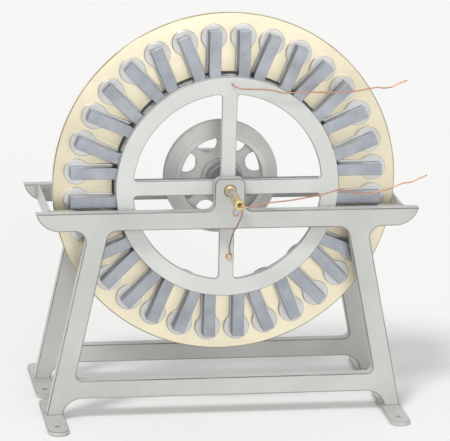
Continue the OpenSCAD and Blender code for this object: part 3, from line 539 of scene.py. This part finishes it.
def plate(outside, holes, first, last, edge, steps=4):
    """A plate between two stations. Row by row, its wall is the outline moved in by
    edge * (1 - sin a) at the depth edge * (1 - cos a), with a from 0 to 90 degrees and back."""
    loops = [facing(np.asarray(outside, float))] + [facing(np.asarray(h, float), True) for h in holes]
    a = np.linspace(0, math.pi / 2, steps)
    into = np.concatenate([edge * (1 - np.sin(a)), edge * (1 - np.sin(a[::-1]))])
    depth = np.concatenate([first + edge * (1 - np.cos(a)), last - edge * (1 - np.cos(a[::-1]))])
    on_edge = np.sin(a * 2) ** 0.5
    on_edge = np.concatenate([on_edge, on_edge[::-1]])
    points, faces, edges, caps = [], [], [], [[], []]
    start = 0
    for loop in loops:
        rows = [inset(loop, d) for d in into]
        n = len(loop)
        for row, d in zip(rows, depth):
            points.append(np.column_stack([row[:, 0], np.full(n, d), row[:, 1]]))
        edges.append(np.repeat(on_edge, n))
        faces += (np.array(grid_faces(len(rows), n)) + start).tolist()
        for cap, row in zip(caps, (0, len(rows) - 1)):
            cap.append((np.arange(n) + start + row * n, rows[row]))
        start += len(rows) * n
    for cap in caps:
        ids = np.concatenate([c[0] for c in cap])
        corners = np.vstack([c[1] for c in cap])
        triangles = [list(tri) for tri in tessellate_polygon([[Vector((*p, 0)) for p in c[1]] for c in cap])]
        faces += [ids[tri].tolist() for tri in triangles]
        filled = sum(abs(area(corners[tri])) for tri in triangles)
        unfilled.append(abs(filled / sum(area(c[1]) for c in cap) - 1))
    return np.vstack(points), faces, np.concatenate(edges)


quarter = np.linspace(0, math.pi / 2, 4)
print("the rows of a 2 mm edge stand in by", (2 * (1 - np.sin(quarter))).round(2).tolist(), "mm")


# %% Placing a shape
def laid_flat(shape):
    """A plate drawn in the floor's plane: its stations become heights and its z becomes stations."""
    return shape[0][:, [0, 2, 1]], *shape[1:]


def moved(shape, x=0.0, station=0.0, z=0.0):
    """The same offset is added to every point."""
    return (shape[0] + [x, station, z], *shape[1:])


def mirrored(shape):
    """Every x changes its sign; make() turns the faces outwards again."""
    return (shape[0] * [-1, 1, 1], *shape[1:])


print("the point 0, 0, 0 moved to the right by 5:", moved((np.zeros((1, 3)), []), 5)[0].tolist())

# %% [markdown]
# ## The end frames
#
# Each end of the stand is one casting: a rail with two ears, splayed legs, a bottom rail, a window
# between them, and a post that carries the shaft. Sand castings never have sharp edges, so every edge
# is rounded by a few millimetres. The feet are long flat plates with round ends. The curve under an ear
# is one arc through its tip that is level where it meets the rail, so its radius is
# (length * length + height * height) / (2 * height).

# %% End frame outlines
frame_w, rail_top, rail_h, ear_len = 1016, 565, 48, 62
leg_top_x, leg_foot_x, leg_w, ankle_w = 371, 479, 54, 42
low_rail_top, low_rail_h = 109, 49
post_w, post_over = 80, 32
foot_len, foot_w, foot_t, foot_hole_pitch, foot_hole_d = 284, 54, 12, 190, 12
pad_side, pad_end, pad_h, pad_sunk, pad_corner = 2, 4, 8, 3, 3
cast_edge, pad_edge, foot_edge = 3.5, 2.5, 1.8

rail_under = rail_top - rail_h
leg_slope = (leg_foot_x - leg_top_x) / rail_under
low_rail_under = low_rail_top - low_rail_h


def leg_x(z):
    """Where the outside of a leg is at a height: its place at the floor less the slope times the height."""
    return leg_foot_x - leg_slope * z


ear_r = (ear_len**2 + rail_h**2) / (2 * rail_h)
ear_tilt = math.degrees(math.asin(1 - rail_h / ear_r))
ear = arc((frame_w / 2 - ear_len, rail_under + ear_r), ear_r, -ear_tilt, -90, 16)

frame_outline = rounded(both_sides([
    [post_w / 2, axis_z + post_over, 16],
    [post_w / 2, rail_top, 21],
    *[[x, z, 0] for x, z in ear],
    [leg_top_x, rail_under, 30],
    [leg_x(foot_t), foot_t, 4],
    [leg_x(foot_t) - ankle_w, foot_t, 4],
    [leg_x(low_rail_under) - ankle_w, low_rail_under, 52],
]), 12)
window_outline = rounded(both_sides([
    [leg_x(rail_under) - leg_w, rail_under, 30],
    [leg_x(low_rail_top) - leg_w, low_rail_top, 16],
]), 12)
print("outline of an end frame:", len(frame_outline), "points")


# %% End frames
def foot(side):
    """A foot plate whose outline is two half circles joined by lines, with two bolt holes, and the
    rounded pad under the leg."""
    x = side * (leg_x(foot_t) - ankle_w / 2)
    end = (foot_len - foot_w) / 2
    outline = np.vstack([arc((0, end), foot_w / 2, 0, 180, 24), arc((0, -end), foot_w / 2, 180, 360, 24)])
    holes = [circle(foot_hole_d / 2, 32, (0, s * foot_hole_pitch / 2)) for s in (-1, 1)]
    sole = plate(outline, holes, 0, foot_t, foot_edge)
    half_w, half_len = ankle_w / 2 + pad_side, frame_t / 2 + pad_end
    pad_outline = rounded([[half_w, -half_len, pad_corner], [half_w, half_len, pad_corner],
                           [-half_w, half_len, pad_corner], [-half_w, -half_len, pad_corner]], 4)
    pad = plate(pad_outline, [], foot_t - pad_sunk, foot_t + pad_h, pad_edge)
    return [moved(laid_flat(s), x, frame_t / 2) for s in (sole, pad)]


def end_frame(start, bore):
    """The casting of one end of the stand: its plate and the two feet, moved to a station."""
    shapes = [plate(frame_outline, [window_outline, circle(bore, 64, (0, axis_z))], 0, frame_t, cast_edge)]
    for side in (-1, 1):
        shapes += foot(side)
    return [moved(s, station=start) for s in shapes]


bush_flange = 6
bush_r = reach("front_bush") + fit
make("front_casting", end_frame(0, bush_r), paint, "stand", ["front_frame"])
rear_bush_r = reach("rear_bush") - bush_flange + fit
make("rear_casting", end_frame(rear_at, rear_bush_r), paint, "stand", ["rear_frame"])

# %% [markdown]
# ## Side rails
#
# A flat rail joins the ears on each side. Its ends are turned in as flanges that lie behind the
# ears, each held by two studs and nuts. A bent bar could follow a path round both corners, but the
# corners are tight. So the rail is a bar with a rounded section, and a flange is a plate with two
# holes.

# %% Side rails
side_rail_t, side_rail_h, side_rail_inset = 8, 40, 34
side_rail_x = frame_w / 2 - side_rail_inset
flange_len, stud_edge, stud_r = 70, 16, 5 + fit
bar_corner, flange_top_corner, flange_low_corner = 2, 4, 14
bar_edge, flange_edge = 0.5, 1.5
rail_low = rail_top - side_rail_h
bar_in, flange_in = side_rail_x - side_rail_t, side_rail_x - flange_len
flange_outline = rounded([
    [side_rail_x, rail_top, bar_corner], [flange_in, rail_top, flange_top_corner],
    [flange_in, rail_low, flange_low_corner], [side_rail_x, rail_low, bar_corner],
], 6)
stud_holes = [circle(stud_r, 32, (x, rail_top - side_rail_h / 2))
              for x in (flange_in + stud_edge, bar_in - stud_edge)]
bar = rounded([[bar_in, rail_low, bar_corner], [side_rail_x, rail_low, bar_corner],
               [side_rail_x, rail_top, bar_corner], [bar_in, rail_top, bar_corner]], 4)
rail = [plate(bar, [], frame_t, rear_at, bar_edge)]
for first in (frame_t, rear_at - side_rail_t):
    rail.append(plate(flange_outline, stud_holes, first, first + side_rail_t, flange_edge))
make("right_rail", rail, paint, "stand", ["right_side_rail"])
make("left_rail", [mirrored(s) for s in rail], paint, "stand", ["left_side_rail"])

# %% [markdown]
# ## Turned pieces
#
# Hubs, rings and bushes come off a lathe. A turned surface is a profile of [radius, station] points
# carried round the shaft: x is r cos a and z is r sin a. Each corner of the profile is broken by a
# small arc, and the arc's points are marked as edge.

# %% Turning
arc_step = 2.5


def turned(profile, sides):
    """A closed profile of [radius, station, corner radius] carried round the axis. A point is marked as
    edge where both its neighbours in the profile are nearer than the longest step of an arc."""
    loop = rounded(profile, 3)
    a = np.linspace(0, 2 * math.pi, sides, endpoint=False)
    x = np.cos(a)[:, None] * loop[:, 0]
    z = np.sin(a)[:, None] * loop[:, 0]
    station = np.broadcast_to(loop[:, 1], x.shape)
    points = np.stack([x, station, z], -1).reshape(-1, 3)
    gap = np.linalg.norm(loop - np.roll(loop, 1, 0), axis=1)
    in_arc = np.maximum(gap, np.roll(gap, -1)) < arc_step
    on_edge = np.broadcast_to(in_arc.astype(float), x.shape).reshape(-1)
    return points, grid_faces(sides, len(loop), close_rows=True), on_edge


def ring_profile(outer, inner, first, last, soft=1.5):
    """A ring's profile: a rectangle between two radii and two stations, with one corner radius."""
    return [[inner, first, soft], [outer, first, soft], [outer, last, soft], [inner, last, soft]]


print("a ring in 128 steps:", len(turned(ring_profile(20, 10, 0, 5), 128)[0]), "points")


# %% Copies round the shaft
def around_shaft(shape, count, first=0.0):
    """Copies of a shape at equal angles a round the shaft: x cos a + z sin a and z cos a - x sin a."""
    a = np.radians(first + 360 / count * np.arange(count))[:, None]
    p = shape[0]
    x = p[:, 0] * np.cos(a) + p[:, 2] * np.sin(a)
    z = p[:, 2] * np.cos(a) - p[:, 0] * np.sin(a)
    points = np.stack([x, np.broadcast_to(p[:, 1], x.shape), z], -1).reshape(-1, 3)
    n = len(p)
    faces = [[i + k * n for i in f] for k in range(count) for f in shape[1]]
    on_edge = np.tile(shape[2], count) if len(shape) > 2 else np.zeros(n * count)
    return points, faces, on_edge


def on_axis(*shapes):
    """Lifts shapes that count from the shaft's axis to its height."""
    return [moved(s, z=axis_z) for s in shapes]


print("one point copied eight times:", len(around_shaft((np.zeros((1, 3)), []), 8)[0]), "points")

# %% [markdown]
# ## The clamp wheel
#
# A flat ring lies over the bends of the magnets and holds them against a second ring behind. Four
# spokes and a boss carry it from the front post. Ring and spokes are one plate with four windows: each
# window is a quarter of the ring's inside, with an arc where a spoke meets the ring.

# %% Clamp wheel
ring_t, spoke_w, spoke_corner_r = 13, 40, 10
ring_r, ring_bore_r = 296, 250
ring_at = magnet_at - ring_t
ring_edge = 2.2
boss_r, boss_bore_r, boss_end = 32, 12, stations("clamp_wheel")[1]


def window():
    """The open quarter between two spokes. A corner's middle is its radius from the spoke's side and
    from the ring, so it lies at the root of (ring - corner)^2 - side^2 along the spoke."""
    side = spoke_w / 2 + spoke_corner_r
    along = math.sqrt((ring_bore_r - spoke_corner_r) ** 2 - side**2)
    a = math.degrees(math.atan2(side, along))
    return np.vstack([
        [[spoke_w / 2, spoke_w / 2]],
        arc((along, side), spoke_corner_r, -90, a, 8),
        arc((0, 0), ring_bore_r, a, 90 - a, 32)[1:-1],
        arc((side, along), spoke_corner_r, 90 - a, 180, 8),
    ])


openings = at_angles(window(), [0, 90, 180, 270]) + [circle(boss_bore_r, 48)]
clamp = [plate(circle(ring_r, 192), openings, ring_at, magnet_at, ring_edge),
         turned(ring_profile(boss_r, boss_bore_r, frame_t, boss_end), 96)]
make("spoked_clamp", on_axis(*clamp), ring_paint, "stand", ["clamp_wheel"])
back_ring_at, back_ring_end = stations("backing_ring")
back_ring_w = 34
back_ring = ring_profile(ring_r, ring_r - back_ring_w, back_ring_at, back_ring_end)
make("rear_clamp_ring", on_axis(turned(back_ring, 192)), ring_paint, "stand", ["backing_ring"])

# %% [markdown]
# ## Magnets
#
# Each magnet is three flat steel bars bent into the same horseshoe and laid one on another. The bar's
# section is a rectangle with broken corners, carried along a path of two straight limbs and a half
# circle. At each pole the section draws in a little, so that the end has a broken edge too.

# %% Horseshoes
magnet_count = 16
pole_r, limb_w, limb_past_pole, bend_inset = 396, 31, 19, 2
pole_x = pole_r * math.sin(math.pi / 2 / magnet_count)
pole_a = pole_r * math.cos(math.pi / 2 / magnet_count)
limb_end = pole_a + limb_past_pole
bend_a = ring_bore_r + bend_inset + pole_x + limb_w / 2


def leaf(first, last, broken=1.0, corner_steps=3):
    """One bar of a horseshoe between two stations: each section is the path's point plus the section's
    width along the path's normal, with its thickness along the shaft."""
    bend = arc((0, bend_a), pole_x, 180, 360, 36)
    tip = np.array([0, broken])
    left, right = np.array([-pole_x, limb_end]), np.array([pole_x, limb_end])
    path = np.vstack([[left], [left - tip], bend, [right - tip], [right]])
    along = unit(np.gradient(path, axis=0))
    side = np.stack([along[:, 1], -along[:, 0]], -1)
    section = rounded([[-limb_w / 2, first, broken], [limb_w / 2, first, broken],
                       [limb_w / 2, last, broken], [-limb_w / 2, last, broken]], corner_steps)
    middle = np.array([0, (first + last) / 2])
    shrink = np.ones((len(path), 1, 2))
    shrink[[0, -1], 0] = 1 - 2 * broken / np.array([limb_w, last - first])
    spread = middle + (section - middle)[None] * shrink
    x = path[:, None, 0] + side[:, None, 0] * spread[..., 0]
    z = path[:, None, 1] + side[:, None, 1] * spread[..., 0]
    points = np.stack([x, spread[..., 1], z], -1).reshape(-1, 3)
    n = len(section)
    in_corner = np.isin(np.arange(n) % (corner_steps + 1), [0, corner_steps], invert=True)
    on_edge = np.tile(in_corner.astype(float), len(path))
    return points, grid_faces(len(path), n) + end_faces(len(path), n), on_edge


for layer, node_name in enumerate(("front_magnet_leaves", "middle_magnet_leaves", "rear_magnet_leaves")):
    first = magnet_at + layer * leaf_t
    bars = on_axis(around_shaft(leaf(first, first + leaf_t), magnet_count))
    piece_name = node_name.replace("_leaves", "_bars")
    make(piece_name, bars, magnet_steel, "stand", [node_name])

# %% [markdown]
# ## Disc and pole shoes
#
# The disc turns behind the magnets and carries thirty-two pole shoes on its face. A shoe has the
# outline of a keyhole: a round head over the end of a coil, a concave neck and a straight tail that
# points at the ring. The outline is five arcs and lines, and each arc ends where it touches the next.
# The disc itself is a plain turned ring with a soft outer edge.

# %% Pole shoes
shoe_r, tail_w, neck_r = 34, 40, 18
tail_a, tail_corner, shoe_edge = 300, 2.5, 1.4


def keyhole():
    """Head, neck and tail of a pole shoe, counted from the middle of its head. The neck's middle is
    head radius + neck radius away from it, and neck radius away from the tail's side."""
    neck_x = tail_w / 2 + neck_r
    neck_a = math.sqrt((shoe_r + neck_r) ** 2 - neck_x**2)
    lean = math.degrees(math.atan2(neck_a, neck_x))
    corner_x, corner_y = tail_w / 2 - tail_corner, tail_a - pole_a + tail_corner
    return np.vstack([
        arc((0, 0), shoe_r, -lean, 180 + lean, 48),
        arc((-neck_x, -neck_a), neck_r, lean, 0, 8)[1:],
        arc((-corner_x, corner_y), tail_corner, 180, 270, 4),
        arc((corner_x, corner_y), tail_corner, 270, 360, 4),
        arc((neck_x, -neck_a), neck_r, 180, 180 - lean, 8)[:-1],
    ])


shoe = plate(keyhole(), [], shoe_at, disc_at, shoe_edge, 3)
pair = [around_shaft(moved(shoe, s * pole_x, 0, pole_a), magnet_count) for s in (-1, 1)]
make("keyhole_shoes", on_axis(*pair), soft_iron, "rotor", ["pole_shoes"])

# %% Disc
disc_r, disc_bore_r = reach("armature_disc"), ring_r + 2
disc_edge = 3.5
disc = turned(ring_profile(disc_r, disc_bore_r, disc_at, carrier_at, disc_edge), 256)
make("turned_disc", on_axis(disc), disc_brass, "rotor", ["armature_disc"])

# %% [markdown]
# ## Carrier
#
# A second wheel, keyed to the shaft, carries the disc. Its ring lies behind the disc, held by sixteen
# rivets, and its four slender arms lie in the disc's own plane. At rest they stand behind the spokes of
# the clamp wheel, so they hardly show from the front.

# %% Carrier
carrier_r = reach("disc_carrier")
carrier_t, carrier_w, arm_w, hub_r, shaft_r = 12, 75, 22, 48, 16
arm_start, arm_end, arm_sunk, arm_corner = hub_r - 8, disc_bore_r - 4, 1, 2.5
carrier_edge = 2
carrier_end = carrier_at + carrier_t
hub_start, hub_end = disc_at - 0.2, stations("disc_carrier")[1]
arm = rounded([[arm_w / 2, arm_start, arm_corner], [arm_w / 2, arm_end, arm_corner],
               [-arm_w / 2, arm_end, arm_corner], [-arm_w / 2, arm_start, arm_corner]], 3)
carrier = [around_shaft(plate(arm, [], disc_at, carrier_at + arm_sunk, carrier_edge), 4),
           turned(ring_profile(carrier_r, carrier_r - carrier_w, carrier_at, carrier_end, carrier_edge), 192),
           turned(ring_profile(hub_r, shaft_r + fit, hub_start, hub_end, carrier_edge), 96)]
make("spoked_carrier", on_axis(*carrier), carrier_iron, "rotor", ["disc_carrier"])

# %% Rivets
# A rivet's head is a quarter of an ellipse, (radius cos a, height sin a), turned round the rivet.
rivet_a = (disc_bore_r + carrier_r) / 2
rivet_r, head_r, head_h, rivet_at = 4, 7, 4, disc_at + 0.2
dome_a = np.linspace(0, math.pi / 2, 6)
dome = np.column_stack([head_r * np.cos(dome_a), carrier_end + head_h * np.sin(dome_a), 0 * dome_a])
rivet = turned([[0, rivet_at, 0], [rivet_r, rivet_at, 0], [rivet_r, carrier_end, 0], *dome.tolist()], 24)
rivets = around_shaft(moved(rivet, z=rivet_a), magnet_count, 180 / magnet_count)
make("dome_rivets", on_axis(rivets), bearing_brass, "rotor", ["disc_rivets"])

# %% [markdown]
# ## Coils
#
# Thirty-two bobbins stand behind the disc, one behind each shoe. The wire's turns must be real
# grooves, because the coils are seen from the side and from behind, with light along them. The
# winding's surface depends on the angle a and the distance s along the bobbin: f is the fractional
# part of s / pitch + a / 360, which climbs one pitch in each turn, and the radius rises and falls over
# f like the half circle of a wire.
#
# A flat iron ring, the yoke, closes the way for the magnetism behind the coils. It is turned too.

# %% Sizes of the coils
cheek_r, cheek_t, core_r, tube_r, winding_r = 33, 4, 14 + fit, 17, 30
cheek_edge, waist_edge = 1.2, 0.5
bobbin_at, bobbin_end = carrier_at + 0.3, yoke_at - 0.3
waist_at, waist_end = carrier_at + cheek_t, yoke_at - cheek_t
pitch = 2.4
print("turns in a layer:", round((waist_end - waist_at) / pitch, 1))


# %% Windings
def winding(first, last, per_turn=5, sides=32):
    """A closed coil whose outside is at winding_r - wire + wire * the root of 1 - (2 f - 1)^2, where
    wire is half the pitch. Two more rows, on the bobbin's tube, close it inside."""
    count = int(round((last - first) / pitch * per_turn)) + 1
    s = np.linspace(first, last, count)[:, None]
    a = np.linspace(0, 2 * math.pi, sides, endpoint=False)[None]
    f = ((s - first) / pitch + a / (2 * math.pi)) % 1
    r = winding_r - pitch / 2 + pitch / 2 * np.sqrt(np.maximum(0, 1 - (2 * f - 1) ** 2))
    r = np.vstack([r, np.full((2, sides), tube_r + fit)])
    s = np.vstack([s, [[last], [first]]])
    x, z = r * np.cos(a), r * np.sin(a)
    points = np.stack([x, np.broadcast_to(s, x.shape), z], -1).reshape(-1, 3)
    return points, grid_faces(count + 2, sides, close_rows=True), np.zeros(x.size)


# %% Bobbins
coil_count = 2 * magnet_count


def behind_shoes(shape):
    """A shape in the place of each coil, half a step away from the top."""
    return on_axis(around_shaft(moved(shape, z=pole_r), coil_count, 180 / coil_count))


bobbin = turned([
    [core_r, bobbin_at, waist_edge], [cheek_r, bobbin_at, cheek_edge], [cheek_r, waist_at, cheek_edge],
    [tube_r, waist_at, waist_edge], [tube_r, waist_end, waist_edge], [cheek_r, waist_end, cheek_edge],
    [cheek_r, bobbin_end, cheek_edge], [core_r, bobbin_end, waist_edge],
], 40)
coil = winding(waist_at + fit, waist_end - fit)
make("turned_bobbins", behind_shoes(bobbin), boxwood, "rotor", ["bobbins"])
make("wound_coils", behind_shoes(coil), covered_wire, "rotor", ["coil_windings"])

# %% Yoke ring
yoke_half_w = 30
yoke = turned(ring_profile(pole_r + yoke_half_w, pole_r - yoke_half_w, yoke_at, yoke_end), 256)
make("turned_yoke", on_axis(yoke), soft_iron, "rotor", ["yoke_ring"])

# %% [markdown]
# ## Pulley
#
# The belt pulley has a rim with bevelled cheeks and a deep groove, a thin web with eight cut-outs and a
# hub. Rim and hub are turned. The web is a plate, and a cut-out is bounded by two arcs: the small
# circle of the cutter, and the inside of the rim. Only a millimetre of land is left between bevel and
# groove, so the corners there are small: two arcs that overlap would turn the rim inside out. The web
# runs well into the rim, because its own edge must stay clear of the cut-outs' arcs.

# %% Pulley
pulley_r, rim_in, hub_out = reach("pulley"), 109, 55
bevel_w, bevel_h, groove_depth, groove_half = 16, 30, 20, 9
soft, land_soft, lip_soft, hub_soft = 1.5, 0.6, 0.5, 2.5
web_t, web_root, cutter_inset, rim_clear = 10, 9, 9, 0.5
cut_count = 8
pulley_w = pulley_end - pulley_at
mid = pulley_w / 2
rim = turned([
    [rim_in, 0, soft], [pulley_r - bevel_h, 0, soft], [pulley_r, bevel_w, land_soft],
    [pulley_r, mid - groove_half, lip_soft], [pulley_r - groove_depth, mid, soft],
    [pulley_r, mid + groove_half, lip_soft], [pulley_r, pulley_w - bevel_w, land_soft],
    [pulley_r - bevel_h, pulley_w, soft], [rim_in, pulley_w, soft],
], 192)
hub = turned(ring_profile(hub_out, shaft_r + fit, 0, pulley_w, hub_soft), 96)


def cut_out():
    """One cut-out of the web: the cutter's arc towards the hub, and the rim's arc outside. The two
    circles meet at the height up = (rim^2 - cutter^2 + middle^2) / (2 middle) above the axis."""
    cutter_r, cutter_a, rim_r = (rim_in - hub_out) / 2, rim_in - cutter_inset, rim_in - rim_clear
    up = (rim_r**2 - cutter_r**2 + cutter_a**2) / (2 * cutter_a)
    side = math.sqrt(rim_r**2 - up**2)
    from_cutter = math.degrees(math.atan2(up - cutter_a, side))
    from_axis = math.degrees(math.atan2(up, side))
    return np.vstack([arc((0, cutter_a), cutter_r, from_cutter, -180 - from_cutter, 28),
                      arc((0, 0), rim_r, 180 - from_axis, from_axis, 8)[1:-1]])


cuts = at_angles(cut_out(), 360 / cut_count * (np.arange(cut_count) + 0.5))
web = plate(circle(rim_in + web_root, 128), cuts + [circle(shaft_r + fit, 64)],
            mid - web_t / 2, mid + web_t / 2, soft)
make("belt_pulley", on_axis(*[moved(s, station=pulley_at) for s in (rim, hub, web)]), pulley_iron, "rotor",
     ["pulley"])

# %% [markdown]
# ## Shaft, ferrule and contact
#
# The front end of the shaft is a contact: a brass ferrule outside, a hard-rubber tube inside it, and in
# the middle the end of a brass rod. The curled wire that rubs on the ferrule starts as an eye under a
# screw on the lower spoke, passes in front of the rail and ends in a curl.

# %% Shaft end
print("the shaft runs from station", stations("shaft")[0], "to", stations("shaft")[1])
ferrule_at, ferrule_end = stations("ferrule")
ferrule_r, ferrule_bore_r = reach("ferrule"), reach("insulating_tube") + fit
seat_r, seat_at = 8 + fit, ferrule_at + 4 - fit
ferrule_edge, seat_edge = 1.2, 0.5
ferrule = turned([
    [ferrule_bore_r, ferrule_at, ferrule_edge], [ferrule_r, ferrule_at, ferrule_edge],
    [ferrule_r, ferrule_end, ferrule_edge], [seat_r, ferrule_end, seat_edge],
    [seat_r, seat_at, 0], [ferrule_bore_r, seat_at, 0],
], 64)
make("brass_ferrule", on_axis(ferrule), contact_brass, "rotor", ["ferrule"])
collar_r = reach("rear_collar")
collar = turned(ring_profile(collar_r, shaft_r + fit, *stations("rear_collar")), 64)
make("turned_collar", on_axis(collar), shaft_steel, "rotor", ["rear_collar"])

# %% Contact wire
spring_d, eye_gap = 3.6, 0.6
eye_at = ring_at - spring_d / 2 - eye_gap
contact_route = [
    [3, eye_at, -182], [0, eye_at, -187], [4, eye_at, -193], [11, eye_at, -192], [13, eye_at, -185],
    [9, 32, -178], [7, 27, -169], [5, 20, -156], [5, 8, -141], [5, -10, -123], [6, -32, -104],
    [9, -60, -81], [11, -86, -60], [13, -106, -41], [14, -112, -26], [9, -112, -17],
    [0, -112, -15.4], [-8, -112, -21], [-9, -112, -32], [-3, -112, -39], [3, -112, -33],
]
spring = tube(smooth(contact_route, 8), spring_d / 2)
make("curled_wire", on_axis(spring), bare_copper, "stand", ["contact_wire"])

# %% [markdown]
# ## What stays as it is
#
# Bolts, nuts, screws, bushes, keys and the shaft already have the right shape. They keep their solids
# and only get a finish.

# %% Finishes on the solids
kept = {
    "front_corner_bolts": nut_steel, "rear_corner_bolts": nut_steel, "front_corner_nuts": nut_steel,
    "rear_corner_nuts": nut_steel, "boss_bolts": nut_steel, "clamp_screws": nut_steel, "core_nuts": nut_steel,
    "collar_screw": nut_steel, "carrier_key": shaft_steel, "pulley_key": shaft_steel, "shaft": shaft_steel,
    "front_bush": bearing_brass, "rear_bush": bearing_brass, "thrust_washer": bearing_brass,
    "contact_rod": contact_brass, "contact_screw": contact_brass, "earth_screw": contact_brass,
    "insulating_tube": ebonite, "coil_cores": soft_iron, "coil_links": bare_copper, "coil_leads": bare_copper,
}
for node_name, material in kept.items():
    mesh = nodes[node_name].data
    mesh.materials.clear()
    mesh.materials.append(material)
print("solids that keep their shape:", len(kept))

# %% [markdown]
# ## Floor and light
#
# A pale floor and a pale sky, as the page is white, with a soft key light from the upper left. A wider
# and weaker light from the front reaches through the wheel's windows to the pulley behind. The sky
# lights the machine at 0.6. It shows at 0.95 behind the machine and in its polished metal, so that a low
# view has a pale background and the metal reflects the same one.

# %% Floor
far = 40
floor_mesh = bpy.data.meshes.new("floor")
floor_mesh.from_pydata([(-far, -far, 0), (far, -far, 0), (far, far, 0), (-far, far, 0)], [], [(0, 1, 2, 3)])
floor = bpy.data.objects.new("floor", floor_mesh)
bpy.context.scene.collection.objects.link(floor)
floor_finish = bpy.data.materials.new("floor_finish")
floor_finish.use_nodes = True
floor_shader = floor_finish.node_tree.nodes["Principled BSDF"]
floor_shader.inputs["Base Color"].default_value = (0.93, 0.93, 0.92, 1)
floor_shader.inputs["Roughness"].default_value = 0.9
floor_mesh.materials.append(floor_finish)
print("the floor reaches", far, "m each way")

# %% Light
sky_light, sky_shown = 0.60, 0.95
world = bpy.data.worlds.new("sky")
bpy.context.scene.world = world
world.use_nodes = True
tree = world.node_tree
rays = node(tree, "LightPath")
shown = (rays, "Is Camera Ray")
for ray in ("Is Glossy Ray", "Is Transmission Ray"):
    either = node(tree, "Math", operation="MAXIMUM")
    link(tree, *shown, either, 0)
    link(tree, rays, ray, either, 1)
    shown = (either, "Value")
strength = node(tree, "MapRange", **{"To Min": sky_light, "To Max": sky_shown})
link(tree, *shown, strength, "Value")
sky = tree.nodes["Background"]
link(tree, strength, "Result", sky, "Strength")
sky.inputs["Color"].default_value = (1, 1, 1, 1)


def sun(name, direction, strength, spread):
    """A sun whose light runs along a direction; a spread of many degrees gives soft shadows."""
    light = bpy.data.lights.new(name, "SUN")
    light.energy = strength
    light.angle = math.radians(spread)
    lamp = bpy.data.objects.new(name, light)
    bpy.context.scene.collection.objects.link(lamp)
    lamp.rotation_euler = Vector(direction).to_track_quat("-Z", "Y").to_euler()


sun("key", (0.50, 0.62, -1.05), 1.35, 14)
sun("front_fill", (-0.10, 1.0, -0.28), 0.6, 30)
bpy.context.scene.view_settings.view_transform = "Standard"
print("lamps:", len(bpy.data.lights), "and a sky that lights at", sky_light, "and shows at", sky_shown)

# %% Sizes, and the end
worst = 100 * round(max(unfilled), 6)
print("faces of plates:", len(unfilled), "and the worst is filled to within", worst, "%")
